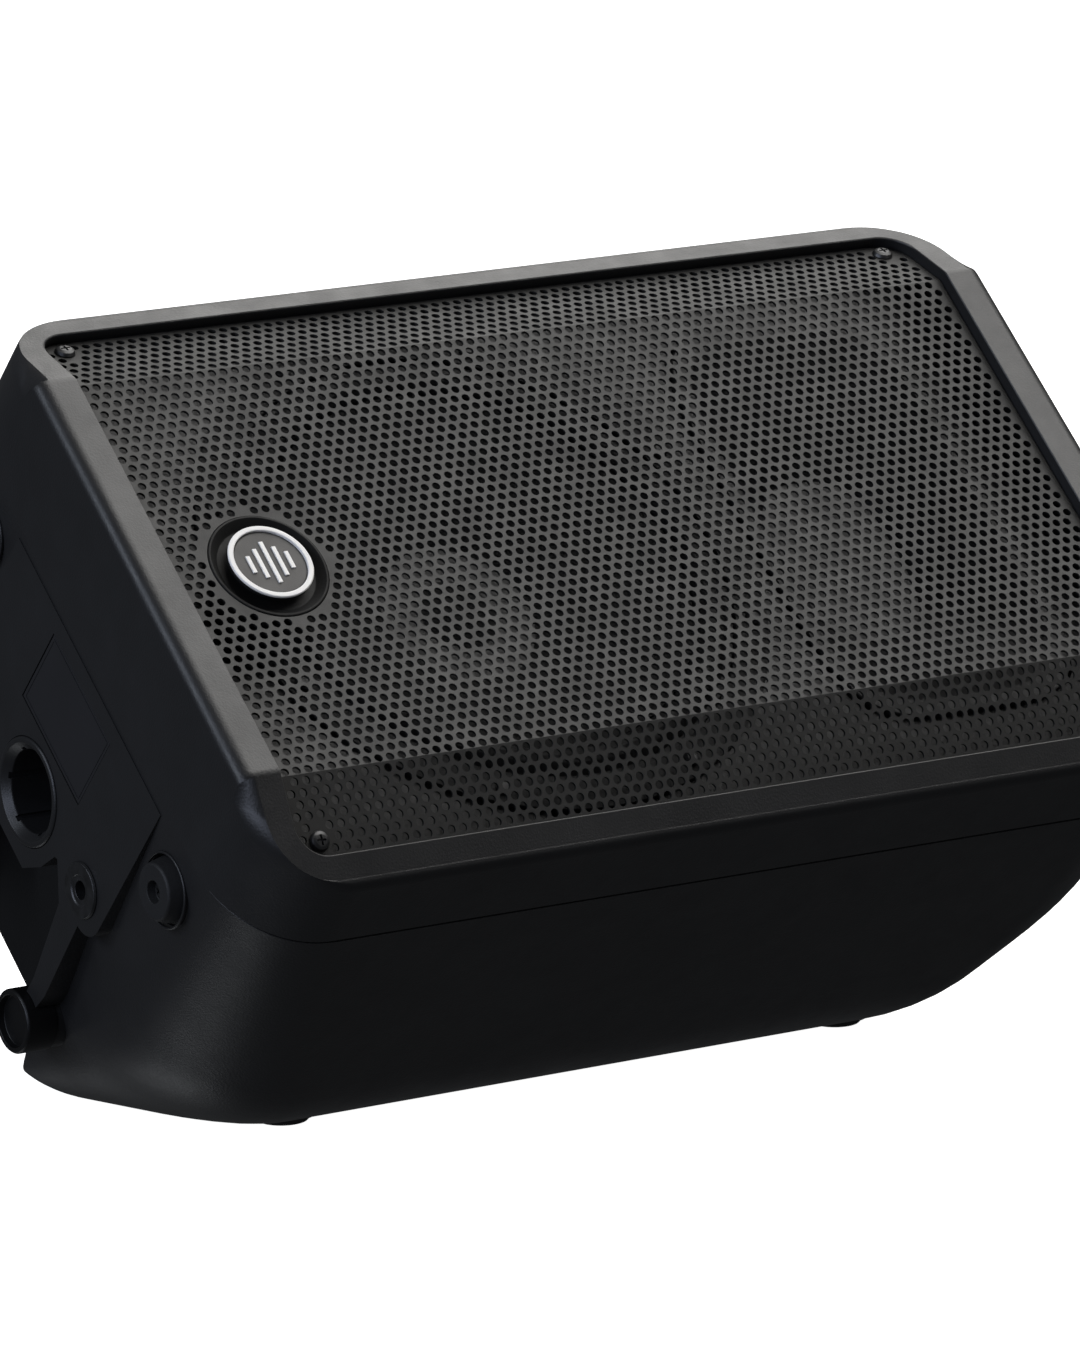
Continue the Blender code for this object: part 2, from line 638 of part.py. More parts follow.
def make_chassis():
    """An open tray behind the panel, with the board and the power transformer in it."""
    length, width, height = 284.0, 92.0, 50.0
    top = -2.0 - GAP
    tray = panel_piece("amp_chassis", box((length, width, height), (0, 0, top - height / 2)), ZINC)
    inside = box((length - 3.0, width - 3.0, height), (0, 0, top + 1.5 - height / 2))
    cut(tray, cutter("cut_chassis", on_panel(inside)))
    panel_piece("circuit_board", box((266.0, 82.0, 1.6), (0, 0, -44.0)), PANEL)
    toroid = [(9.0, -42.0), (36.0, -42.0), (38.0, -40.0), (38.0, -14.0), (36.0, -12.0), (9.0, -12.0)]
    panel_piece("transformer", turned(toroid, 20), CASTING, 90.0)


def make_heat_sink():
    """A finned plate: one comb-shaped section drawn out along the cabinet."""
    fins, pitch, half_fin, half = 9, 11.0, 1.1, 46.0
    section = [(-half, GAP)]
    for n in range(fins):
        y = (n - (fins - 1) / 2) * pitch
        section += [(y - half_fin, 2.8), (y - half_fin, 8.2), (y + half_fin, 8.2), (y + half_fin, 2.8)]
    section[1] = (-half, 2.8)
    section[2] = (-half, 8.2)
    section[-2] = (half, 8.2)
    section[-1] = (half, GAP)
    comb = capped([[(x, y, z) for y, z in section] for x in (-50.0, 50.0)])
    panel_piece("heat_sink", comb, ALLOY, 94.0)


def make_inlet():
    length, width = INLET
    inlet = panel_piece("power_inlet", box((length, width, 20.6), (0, 0, -6.7)), GLOSS, *INLET_AT)
    flange = box((length + 8.0, width + 7.0, 3.0), (0, 0, 2.1), 0.8)
    mouth = box((length - 3.6, width - 3.4, 40.0), (0, 0, 6.0))
    add(inlet, cutter("add_inlet_flange", on_panel(flange, *INLET_AT)))
    cut(inlet, cutter("cut_inlet", on_panel(mouth, *INLET_AT)))


def make_rocker():
    """Power switch: a key that tips about its middle between off and on."""
    side = [(-6.0, -7.6), (6.0, -7.6), (9.6, 0.6), (0.0, 2.0), (-9.6, 4.6)]
    key = capped([[(x, y, z) for x, z in side] for y in (-6.0, 6.0)])
    panel_piece("power_rocker", key, GLOSS, *ROCKER_AT)
    frame = panel_piece("rocker_frame", box((28.0, 19.0, 2.6), (0, 0, 1.3 + GAP), 0.8), GLOSS,
                        *ROCKER_AT)
    cut(frame, cutter("cut_rocker_frame", on_panel(box((ROCKER[0], ROCKER[1], 20.0)), *ROCKER_AT)))


def make_sockets():
    """Two input sockets and one output socket, each an open round cup."""
    radius = SOCKET_RADIUS
    cup = [(0, -19.0), (radius, -19.0), (radius, 0.3), (radius + 2.2, 0.3), (radius + 1.6, 3.4),
           (9.4, 3.4), (9.0, -17.0), (0, -17.0)]
    first = panel_piece("input_socket_1", turned(cup, 20), GLOSS, SOCKETS_X[0], SOCKETS_Y)
    panel_copy(first, "input_socket_2", SOCKETS_X[1], SOCKETS_Y)
    panel_copy(first, "link_socket", SOCKETS_X[2], SOCKETS_Y)


def make_controls():
    """Two level knobs, two lamps and three push buttons."""
    knob = [(0, 0.3), (6.4, 0.3), (6.4, 5.0), (5.6, 6.4), (0, 6.4)]
    for n, x in enumerate(SOCKETS_X[:2], start=1):
        piece = panel_piece(f"level_knob_{n}", turned(knob, 20), GLOSS, x, KNOBS_Y)
        mark = box((1.2, 5.0, 2.0), (0, 4.0, 6.4))
        cut(piece, cutter(f"cut_knob_mark_{n}", on_panel(mark, x, KNOBS_Y)))
    lamp = [(0, 0.3), (2.4, 0.3), (2.4, 1.4), (1.4, 2.2), (0, 2.2)]
    first = panel_piece("power_lamp", turned(lamp, 12), LENS, SOCKETS_X[2] - 5.0, KNOBS_Y)
    panel_copy(first, "limit_lamp", SOCKETS_X[2] + 5.0, KNOBS_Y)
    button = box((7.0, 7.0, 6.0), (0, 0, 1.2), 0.8)
    first = panel_piece("filter_button", button, GLOSS, SOCKETS_X[0], BUTTONS_Y)
    panel_copy(first, "contour_button", SOCKETS_X[1], BUTTONS_Y)
    panel_copy(first, "mix_button", SOCKETS_X[2], BUTTONS_Y)


def seat_on_floor():
    """Moves the cabinet so that the floor is z = 0 under the middle of its box."""
    bpy.context.view_layer.update()
    graph = bpy.context.evaluated_depsgraph_get()
    low = Vector((1e9, 1e9, 1e9))
    high = -low
    for obj in bpy.data.objects:
        if obj.type != "MESH" or obj.hide_render:
            continue
        seen = obj.evaluated_get(graph)
        for vert in seen.data.vertices:
            point = obj.matrix_world @ vert.co
            low = Vector(map(min, low, point))
            high = Vector(map(max, high, point))
    CABINET.location = (-(low.x + high.x) / 2, -(low.y + high.y) / 2, -low.z)


make_front_shell()
make_grille()
make_badge()
make_woofer()
make_horn()
open_rear_shell(make_rear_shell())
make_end_pieces()
make_rest_feet()
make_carry_handle()
make_amplifier()
seat_on_floor()
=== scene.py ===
"""Looks for the stage monitor wedge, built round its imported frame.

Shapes are drawn in millimetres in the cabinet's own frame: x runs along the
cabinet from its bottom end to its top end, y runs up the sloping front and z
points out of the front.  Depth d below the front face is z = -d.
"""
import json
import math

import bmesh
import bpy
from mathutils import Euler, Matrix, Vector, geometry


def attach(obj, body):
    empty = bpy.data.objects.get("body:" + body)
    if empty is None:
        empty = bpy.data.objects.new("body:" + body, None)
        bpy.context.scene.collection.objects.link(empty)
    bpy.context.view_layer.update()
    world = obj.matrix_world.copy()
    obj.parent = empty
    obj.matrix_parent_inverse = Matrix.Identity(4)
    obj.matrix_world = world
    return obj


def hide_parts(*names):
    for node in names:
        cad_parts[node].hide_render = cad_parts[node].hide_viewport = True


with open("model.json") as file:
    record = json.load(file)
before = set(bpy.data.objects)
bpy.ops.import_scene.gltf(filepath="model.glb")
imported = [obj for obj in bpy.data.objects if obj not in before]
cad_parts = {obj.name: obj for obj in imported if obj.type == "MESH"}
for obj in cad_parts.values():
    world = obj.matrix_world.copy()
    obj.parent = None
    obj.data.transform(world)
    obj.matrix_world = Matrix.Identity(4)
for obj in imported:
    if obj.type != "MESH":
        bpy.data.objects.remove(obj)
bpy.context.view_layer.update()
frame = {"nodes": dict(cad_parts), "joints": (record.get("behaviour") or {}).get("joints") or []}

MM = 0.001
MONITOR_ANGLE = 49.0
TILT = Matrix.Rotation(math.radians(90.0 - MONITOR_ANGLE), 4, "X")
BADGE_AXIS = next(j for j in frame["joints"] if j["name"] == "badge_turn")
BADGE_X = -179.0
FRONT_CENTRE = Vector(BADGE_AXIS["pos_m"]) - TILT @ (Vector((BADGE_X, 0.0, -4.0)) * MM)
CABINET = Matrix.Translation(FRONT_CENTRE) @ TILT

LENGTH, WIDTH, DEPTH = 490.0, 308.0, 287.0
FLAT_HALF = 105.5
FOLD_SOFTNESS = 1.6
STRIP_ANGLE = 23.5
STRIP_SLOPE = math.tan(math.radians(STRIP_ANGLE))
FRONT_HALF = 150.6           # half width of the front face inside its rounded edge
EDGE_INSET, RIM_WIDTH, STRIP_RIM = 6.8, 12.6, 10.2
PARTING = 60.0
GROOVE, GROOVE_LIP = 1.6, 0.3
END_X, BOTTOM_LEAN, TOP_LEAN = 243.5, 0.08, 0.02
TOP_CREASE, TOP_SLOPE = 134.0, 0.58
REST_CREASE = 210.0
CORNER, BOTTOM_FLARE, TOP_FLARE = 45.0, 0.20, 0.035
EDGE_ROUND, BACK_ROUND = 6.0, 12.0
BOTTOM_BACK, TOP_BACK = (30.0, 0.80), (30.0, 0.50)
FEET_PLANE = 248.5
WOOFER_X, HORN_X = -62.0, 140.0
GRILLE_DEPTH, GRILLE_THICK = 5.5, 1.2
GRILLE_SCREW = (213.0, 132.0)
HOLE_PITCH, HOLE_RADIUS = 5.69, 1.95
BADGE_HOLE = 27.2
PLATEAU_X = -243.5
NOTCH_FLOOR = -195.0
POLE_DEPTH = 146.0
INSERT = (55.4, 142.8)
FRONT_FOOT = (97.0, 89.0)
REAR_POST = (60.0, 229.0)
POST_END = 233.5
TOP_INSERT = (83.0, 100.0)
REST_FEET = ((-142.0, 234.0), (150.0, 234.0), (-112.0, 270.0), (96.0, 270.0))
AMP_X, AMP_DEPTH = -30.0, 277.0
AMP_SIZE = (311.0, 109.0)
SOCKETS_X, SOCKETS_Y = (-70.0, -36.0, -2.0), 30.0
KNOBS_Y, BUTTONS_Y = -4.0, -34.0


# ------------------------------------------------------------------ materials

class Nodes:
    """Short ways to wire up one material's nodes."""

    def __init__(self, name):
        self.material = bpy.data.materials.new(name)
        self.material.use_nodes = True
        self.tree = self.material.node_tree
        self.shader = self.tree.nodes["Principled BSDF"]
        self.coords = self.add("ShaderNodeTexCoord").outputs["Object"]

    def add(self, kind, **settings):
        node = self.tree.nodes.new(kind)
        for key, value in settings.items():
            setattr(node, key, value)
        return node

    def link(self, source, target):
        self.tree.links.new(source, target)

    def noise(self, scale, detail=3.0, rough=0.55):
        node = self.add("ShaderNodeTexNoise")
        node.inputs["Scale"].default_value = scale
        node.inputs["Detail"].default_value = detail
        node.inputs["Roughness"].default_value = rough
        self.link(self.coords, node.inputs["Vector"])
        return node.outputs["Fac"]

    def cells(self, scale, feature="F1"):
        node = self.add("ShaderNodeTexVoronoi", feature=feature)
        node.inputs["Scale"].default_value = scale
        self.link(self.coords, node.inputs["Vector"])
        return node.outputs["Distance"]

    def spread(self, source, low, high, bottom=0.3, top=0.7):
        node = self.add("ShaderNodeMapRange")
        for key, value in (("From Min", bottom), ("From Max", top), ("To Min", low),
                           ("To Max", high)):
            node.inputs[key].default_value = value
        self.link(source, node.inputs["Value"])
        return node.outputs["Result"]

    def maths(self, operation, a, b):
        node = self.add("ShaderNodeMath", operation=operation)
        for socket, value in zip(node.inputs, (a, b)):
            if isinstance(value, (int, float)):
                socket.default_value = value
            else:
                self.link(value, socket)
        return node.outputs[0]

    def blend(self, factor, first, second):
        node = self.add("ShaderNodeMix", data_type="RGBA")
        node.inputs["A"].default_value = (*first, 1.0)
        node.inputs["B"].default_value = (*second, 1.0)
        self.link(factor, node.inputs["Factor"])
        return node.outputs["Result"]

    def bump(self, height, distance, strength=1.0):
        node = self.add("ShaderNodeBump")
        node.inputs["Strength"].default_value = strength
        node.inputs["Distance"].default_value = distance
        self.link(height, node.inputs["Height"])
        self.link(node.outputs["Normal"], self.shader.inputs["Normal"])

    def fixed(self, **values):
        for key, value in values.items():
            self.shader.inputs[key.replace("_", " ")].default_value = value


def finish_material(name, colour, rough, grain, depth, varied=0.18, rough_varied=0.05,
                    metallic=0.0, pebble=0.5, specular=0.5):
    """A grained finish: pebbled cells and fine noise, with slight wear in the gloss."""
    nodes = Nodes(name)
    broad = nodes.noise(14.0, 4.0)
    handled = nodes.noise(55.0, 5.0, 0.65)
    fine = nodes.noise(grain * 1.7, 2.0)
    cells = nodes.cells(grain)
    tone = nodes.maths("ADD", nodes.maths("MULTIPLY", broad, 0.6),
                       nodes.maths("MULTIPLY", fine, 0.4))
    dark = tuple(c * (1.0 - varied) for c in colour)
    light = tuple(c * (1.0 + varied) for c in colour)
    nodes.link(nodes.blend(nodes.spread(tone, 0.0, 1.0), dark, light),
               nodes.shader.inputs["Base Color"])
    gloss = nodes.spread(handled, rough - rough_varied, rough + rough_varied)
    nodes.link(gloss, nodes.shader.inputs["Roughness"])
    height = nodes.maths("ADD", nodes.maths("MULTIPLY", cells, pebble),
                         nodes.maths("MULTIPLY", fine, 1.0 - pebble))
    nodes.bump(height, depth)
    nodes.fixed(Metallic=metallic, Specular_IOR_Level=specular)
    return nodes.material


def fibre_material(name, colour, rough):
    """Pressed paper: long tangled fibres over a soft mottle."""
    nodes = Nodes(name)
    fibre = nodes.noise(620.0, 6.0, 0.75)
    mottle = nodes.noise(70.0, 4.0)
    nodes.link(nodes.blend(nodes.spread(mottle, 0.0, 1.0), tuple(c * 0.7 for c in colour),
                           tuple(c * 1.3 for c in colour)), nodes.shader.inputs["Base Color"])
    nodes.link(nodes.spread(fibre, rough - 0.1, rough + 0.08), nodes.shader.inputs["Roughness"])
    nodes.bump(fibre, 0.0005, 0.8)
    return nodes.material


def cast_material(name, colour, rough, metallic, scratch=0.35):
    """Metal or ferrite with fine brushed scratches and a mottled surface."""
    nodes = Nodes(name)
    stretch = nodes.add("ShaderNodeMapping")
    stretch.inputs["Scale"].default_value = (1.0, 14.0, 14.0)
    nodes.link(nodes.coords, stretch.inputs["Vector"])
    lines = nodes.add("ShaderNodeTexNoise")
    lines.inputs["Scale"].default_value = 130.0
    lines.inputs["Detail"].default_value = 5.0
    nodes.link(stretch.outputs["Vector"], lines.inputs["Vector"])
    mottle = nodes.noise(160.0, 5.0)
    nodes.link(nodes.blend(nodes.spread(mottle, 0.0, 1.0), tuple(c * 0.75 for c in colour),
                           tuple(c * 1.2 for c in colour)), nodes.shader.inputs["Base Color"])
    mixed = nodes.maths("ADD", nodes.maths("MULTIPLY", lines.outputs["Fac"], scratch),
                        nodes.maths("MULTIPLY", mottle, 1.0 - scratch))
    nodes.link(nodes.spread(mixed, rough - 0.1, rough + 0.1), nodes.shader.inputs["Roughness"])
    nodes.bump(mixed, 0.0002, 0.6)
    nodes.fixed(Metallic=metallic)
    return nodes.material


PLASTIC = finish_material("moulded_plastic", (0.0165, 0.0165, 0.0172), 0.42, 900.0, 0.00010)
PLASTIC_FINE = finish_material("moulded_plastic_fine", (0.015, 0.015, 0.0155), 0.40, 1500.0,
                               0.00005)
POWDER = finish_material("powder_coat", (0.0115, 0.0112, 0.0106), 0.58, 1300.0, 0.00007, 0.12,
                         0.06, pebble=0.25)
RUBBER = finish_material("rubber", (0.012, 0.012, 0.0125), 0.62, 700.0, 0.00008, 0.25, 0.08)
BOOT = finish_material("boot_rubber", (0.0035, 0.0035, 0.0037), 0.42, 700.0, 0.00005, 0.2, 0.06,
                       specular=0.4)
ZINC = cast_material("blackened_zinc", (0.07, 0.07, 0.071), 0.42, 0.85)
CONTACT = cast_material("plated_contact", (0.62, 0.50, 0.26), 0.28, 1.0)
BADGE_RING = finish_material("badge_ring", (0.93, 0.915, 0.89), 0.34, 1600.0, 0.00003, 0.04,
                             0.05)
BADGE_FACE = finish_material("badge_face", (0.031, 0.029, 0.027), 0.50, 1500.0, 0.00006, 0.12,
                             0.06)
CONE_PAPER = fibre_material("cone_paper", (0.016, 0.016, 0.016), 0.80)
CASTING = cast_material("basket_casting", (0.014, 0.014, 0.0145), 0.66, 0.0)
FERRITE = cast_material("ferrite", (0.045, 0.045, 0.05), 0.62, 0.1, 0.15)
PANEL = finish_material("panel_paint", (0.017, 0.017, 0.0175), 0.48, 1100.0, 0.00006, 0.15,
                        0.06)
ALLOY = cast_material("anodised_alloy", (0.042, 0.042, 0.044), 0.42, 0.75, 0.6)
GLOSS = finish_material("control_plastic", (0.013, 0.013, 0.0135), 0.30, 1400.0, 0.00003)
PRINT = finish_material("panel_print", (0.42, 0.42, 0.41), 0.55, 1500.0, 0.00002, 0.08)
LENS = finish_material("lens_green", (0.05, 0.24, 0.07), 0.22, 1200.0, 0.00002, 0.10)
LENS_AMBER = finish_material("lens_amber", (0.33, 0.14, 0.03), 0.22, 1200.0, 0.00002, 0.10)
LABEL = finish_material("label_film", (0.020, 0.020, 0.022), 0.34, 1500.0, 0.00002, 0.10)
BOARD = finish_material("board_laminate", (0.020, 0.075, 0.035), 0.45, 500.0, 0.00005, 0.25)
# Near-black finish used as painted shade: it darkens the cut-away floor and the badge cup to stand
# in for the shade inside those recesses.
RECESS_SHADE = finish_material("painted_recess_shade", (0.006, 0.006, 0.006), 0.62, 900.0, 0.00008,
                       specular=0.25)


# --------------------------------------------------------------- mesh shapes

def piece(name, bm, look, nodes=(), body="cabinet", slot=None, place=(0, 0, 0), turn=(0, 0, 0),
          sharp=28.0, even=True):
    """Turns a bmesh in millimetres into a piece that rides on a body."""
    placed(bm, place, turn)
    bmesh.ops.recalc_face_normals(bm, faces=bm.faces)
    bmesh.ops.scale(bm, vec=(MM, MM, MM), verts=bm.verts)
    mesh = bpy.data.meshes.new(name)
    bm.to_mesh(mesh)
    bm.free()
    return dressed(name, mesh, look, nodes, body, sharp, even)


def dressed(name, mesh, look, nodes, body, sharp, even):
    mesh.transform(CABINET)
    mesh.materials.clear()
    mesh.materials.append(look)
    mesh.shade_smooth()
    mesh.set_sharp_from_angle(angle=math.radians(sharp))
    obj = bpy.data.objects.new(name, mesh)
    bpy.context.collection.objects.link(obj)
    if even:
        even_out = obj.modifiers.new("even_normals", "WEIGHTED_NORMAL")
        even_out.keep_sharp = True
    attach(obj, body)
    if nodes:
        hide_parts(*nodes)
    return obj


def placed(bm, place, turn=(0.0, 0.0, 0.0)):
    rotation = Euler([math.radians(a) for a in turn]).to_matrix().to_4x4()
    bm.transform(Matrix.Translation(place) @ rotation)
    return bm


def merged(shapes):
    """One bmesh that holds several shapes."""
    whole = bmesh.new()
    for shape in shapes:
        spare = bpy.data.meshes.new("spare")
        shape.to_mesh(spare)
        shape.free()
        whole.from_mesh(spare)
        bpy.data.meshes.remove(spare)
    return whole


def join_rings(bm, rings, closed=False):
    loops = [[bm.verts.new(p) for p in ring] for ring in rings]
    pairs = list(zip(loops, loops[1:]))
    if closed:
        pairs.append((loops[-1], loops[0]))
    for first, second in pairs:
        for i in range(len(first)):
            j = (i + 1) % len(first)
            bm.faces.new((first[i], first[j], second[j], second[i]))
    return loops


def capped(rings):
    """A solid through rings of points, closed at both ends."""
    bm = bmesh.new()
    loops = join_rings(bm, rings)
    bm.faces.new(loops[0])
    bm.faces.new(loops[-1])
    return bm


def looped(rings):
    """A solid whose last ring of points joins its first."""
    bm = bmesh.new()
    join_rings(bm, rings, closed=True)
    return bm


def eased(profile, radius=0.5, segments=3):
    """Rounds the corners of a closed (radius, height) profile."""
    result = []
    count = len(profile)
    for i, corner in enumerate(profile):
        here = Vector(corner)
        before = Vector(profile[i - 1])
        after = Vector(profile[(i + 1) % count])
        to_before, to_after = before - here, after - here
        if here.x < 1e-6 or to_before.length < 1e-6 or to_after.length < 1e-6:
            result.append(corner)
            continue
        if abs(math.pi - to_before.angle(to_after)) < 0.2:
            result.append(corner)
            continue
        reach = min(radius, 0.4 * to_before.length, 0.4 * to_after.length)
        start = here + to_before.normalized() * reach
        end = here + to_after.normalized() * reach
        for k in range(segments + 1):
            t = k / segments
            point = start * (1 - t) ** 2 + here * 2 * t * (1 - t) + end * t ** 2
            result.append((point.x, point.y))
    return result


def turned(profile, steps=64, ease=0.5):
    """Spins a closed (radius, height) profile round z, with its corners rounded."""
    if ease:
        profile = eased(profile, ease)
    bm = bmesh.new()
    rings = []
    for radius, height in profile:
        if radius < 1e-6:
            rings.append([bm.verts.new((0.0, 0.0, height))])
            continue
        rings.append([bm.verts.new((radius * math.cos(math.tau * k / steps),
                                    radius * math.sin(math.tau * k / steps), height))
                      for k in range(steps)])
    for first, second in zip(rings, rings[1:] + rings[:1]):
        if len(first) == 1 and len(second) == 1:
            continue
        for i in range(steps):
            j = (i + 1) % steps
            loop = [first[i % len(first)], first[j % len(first)],
                    second[j % len(second)], second[i % len(second)]]
            bm.faces.new(list(dict.fromkeys(loop)))
    return bm


def cylinder(radius, low, high, steps=48, ease=0.0):
    return turned([(0.0, low), (radius, low), (radius, high), (0.0, high)], steps, ease)


def box(size, centre=(0.0, 0.0, 0.0), bevel=0.0, segments=3):
    bm = bmesh.new()
    scale = Matrix.Diagonal((*size, 1.0))
    bmesh.ops.create_cube(bm, size=1.0, matrix=Matrix.Translation(centre) @ scale)
    if bevel:
        bmesh.ops.bevel(bm, geom=list(bm.edges), offset=bevel, segments=segments,
                        affect="EDGES", profile=0.5)
    return bm


def tool(bm):
    """A shape used only while another is being built."""
    bmesh.ops.recalc_face_normals(bm, faces=bm.faces)
    mesh = bpy.data.meshes.new("tool")
    bm.to_mesh(mesh)
    bm.free()
    obj = bpy.data.objects.new("tool", mesh)
    bpy.context.collection.objects.link(obj)
    return obj


def carved(start, steps, soften=0.0, segments=2, limit=35.0):
    """Unites and cuts shapes, then rounds the sharp edges; returns a bmesh."""
    base = tool(start)
    others = []
    for operation, shape in steps:
        other = tool(shape)
        others.append(other)
        mod = base.modifiers.new("step", "BOOLEAN")
        mod.operation = operation
        mod.object = other
    if soften:
        mod = base.modifiers.new("soften", "BEVEL")
        mod.width = soften
        mod.segments = segments
        mod.limit_method = "ANGLE"
        mod.angle_limit = math.radians(limit)
        mod.miter_outer = "MITER_ARC"
        mod.use_clamp_overlap = True
    graph = bpy.context.evaluated_depsgraph_get()
    mesh = bpy.data.meshes.new_from_object(base.evaluated_get(graph))
    bm = bmesh.new()
    bm.from_mesh(mesh)
    for obj in [base, *others]:
        old = obj.data
        bpy.data.objects.remove(obj)
        bpy.data.meshes.remove(old)
    bpy.data.meshes.remove(mesh)
    return bm


# -------------------------------------------------------------- cabinet shapes

def outline(low_x, high_x, half_y, r_low, r_high, folds=True, steps=20):
    """Rounded rectangle, anticlockwise from the top end's upper corner."""
    corners = ((high_x - r_high, half_y - r_high, r_high, 0),
               (low_x + r_low, half_y - r_low, r_low, 90),
               (low_x + r_low, r_low - half_y, r_low, 180),
               (high_x - r_high, r_high - half_y, r_high, 270))
    spread = [FOLD_SOFTNESS * k for k in (-1.0, -0.5, 0.0, 0.5, 1.0)]
    points = []
    for cx, cy, radius, start in corners:
        if folds and start == 0:
            points += [(high_x, FLAT_HALF + s) for s in spread]
        for k in range(steps + 1):
            angle = math.radians(start + 90.0 * k / steps)
            points.append((cx + radius * math.cos(angle), cy + radius * math.sin(angle)))
        if folds and start == 90:
            points += [(low_x, FLAT_HALF - s) for s in spread]
            points += [(low_x, -FLAT_HALF - s) for s in spread]
        if folds and start == 270:
            points += [(high_x, -FLAT_HALF + s) for s in spread]
    return points


def centred_outline(half_x, half_y, radius, folds=True, steps=20):
    return outline(-half_x, half_x, half_y, radius, radius, folds, steps)


def front_drop(y):
    """How far the front has fallen back at y; the fold is slightly rounded."""
    past = abs(y) - FLAT_HALF
    if past <= -FOLD_SOFTNESS:
        return 0.0
    if past >= FOLD_SOFTNESS:
        return past * STRIP_SLOPE
    return (past + FOLD_SOFTNESS) ** 2 / (4.0 * FOLD_SOFTNESS) * STRIP_SLOPE


def on_front(points, depth):
    return [(x, y, -front_drop(y) - depth) for x, y in points]


def at_depth(points, depth):
    return [(x, y, -depth) for x, y in points]


def soft_minimum(a, b, softness):
    blend = min(max(0.5 + 0.5 * (b - a) / softness, 0.0), 1.0)
    return b * (1.0 - blend) + a * blend - softness * blend * (1.0 - blend)


def corner_radius(depth, growth, back):
    """Radius of the long corners; it swells towards the rest face, then closes in."""
    grown = CORNER + growth * (depth - PARTING)
    closing = back[0] + back[1] * (DEPTH - depth)
    return soft_minimum(grown, closing, 12.0)


def body_outline(depth, inset, steps=20):
    """Section of the rear shell at a depth, moved inwards by inset."""
    straight = WIDTH / 2
    tapered = straight - (depth - REST_CREASE) * math.tan(math.radians(MONITOR_ANGLE))
    half = soft_minimum(straight, tapered, 38.0) - inset
    low = -END_X + BOTTOM_LEAN * (depth - PARTING) + inset
    upright = END_X - TOP_LEAN * (depth - PARTING)
    high = soft_minimum(upright, upright - (depth - TOP_CREASE) * TOP_SLOPE, 12.0) - inset
    r_low = corner_radius(depth, BOTTOM_FLARE, BOTTOM_BACK) - inset
    r_high = corner_radius(depth, TOP_FLARE, TOP_BACK) - inset
    return outline(low, high, half, r_low, r_high, folds=False, steps=steps)


def on_end(bm, y, depth):
    """Turns a shape so that its local z points out of the bottom end."""
    return placed(bm, (0, y, -depth), (0, -90, 0))


def both_sides(make, spot):
    """Two of a shape on the bottom end, at (y, depth) and its mirror."""
    return [on_end(make(), side * spot[0], spot[1]) for side in (1, -1)]


def make_front_shell():
    open_x, open_y = LENGTH / 2 - EDGE_INSET - RIM_WIDTH, FRONT_HALF - STRIP_RIM
    opening = centred_outline(open_x, open_y, 14.0)
    eased_in = centred_outline(open_x + 0.9, open_y + 0.9, 14.9)
    edge = centred_outline(LENGTH / 2 - EDGE_INSET, FRONT_HALF, 28.0)
    wall, eased_out, tucked, inner = [
        centred_outline(LENGTH / 2 - inset, WIDTH / 2 - inset, CORNER - inset)
        for inset in (0.0, GROOVE_LIP, GROOVE, 4.0)]
    rings = [at_depth(opening, 30.0), on_front(opening, 1.0)]
    for share in (0.25, 0.6, 1.0):
        turn = math.radians(90.0 * share)
        out = 1.0 - math.cos(turn)
        rings.append([(ox + (ex - ox) * out, oy + (ey - oy) * out,
                       -front_drop(oy) - 1.0 + math.sin(turn))
                      for (ox, oy), (ex, ey) in zip(opening, eased_in)])
    for k in range(13):
        angle = math.radians(90.0 * k / 12)
        rings.append([(ex + (wx - ex) * math.sin(angle), ey + (wy - ey) * math.sin(angle),
                       -front_drop(ey) - EDGE_ROUND * (1.0 - math.cos(angle)))
                      for (ex, ey), (wx, wy) in zip(edge, wall)])
    rings += [at_depth(wall, PARTING - 0.9), at_depth(eased_out, PARTING - 0.6),
              at_depth(tucked, PARTING - 0.5), at_depth(tucked, PARTING), at_depth(inner, PARTING),
              at_depth(inner, 36.0)]
    mouth = centred_outline(61.0, 106.0, 20.0, folds=False)
    cuts = [("DIFFERENCE", placed(cylinder(118.0, -50.0, -20.0, 96), (WOOFER_X, 0, 0))),
            ("DIFFERENCE", placed(capped([at_depth(mouth, 20.0), at_depth(mouth, 50.0)]),
                                  (HORN_X, 0, 0)))]
    piece("front_shell_moulding", carved(capped(rings), cuts), PLASTIC, ["front_shell"],
          slot="cabinet_plastic", sharp=24.0)


def rear_body():
    rings = [at_depth(body_outline(PARTING + 0.5, GROOVE), PARTING + 0.3),
             at_depth(body_outline(PARTING + 0.6, GROOVE), PARTING + 0.7),
             at_depth(body_outline(PARTING + 0.8, GROOVE_LIP), PARTING + 0.8)]
    depth = PARTING + 1.1
    while depth < 270.0:
        rings.append(at_depth(body_outline(depth, 0.0), depth))
        depth += 8.0
    for k in range(9):
        angle = math.radians(90.0 * k / 8)
        step_in = BACK_ROUND * (1.0 - math.cos(angle))
        depth = DEPTH - BACK_ROUND + BACK_ROUND * math.sin(angle)
        rings.append(at_depth(body_outline(depth, step_in), depth))
    return capped(rings)


def plateau_points():
    """The raised pad's edge on the bottom end, with its ribs out to the posts."""
    half = [(-75.0, 66.0), (-75.0, 146.0)]
    for k in range(1, 8):
        angle = math.radians(90.0 * k / 8)
        half.append((-63.0 - 12.0 * math.cos(angle), 146.0 + 12.0 * math.sin(angle)))
    half += [(-63.0, 158.0), (-65.5, 205.0), (-62.0, 228.0), (-44.0, 228.0), (-40.0, 184.0)]
    return half + [(-y, d) for y, d in reversed(half)]


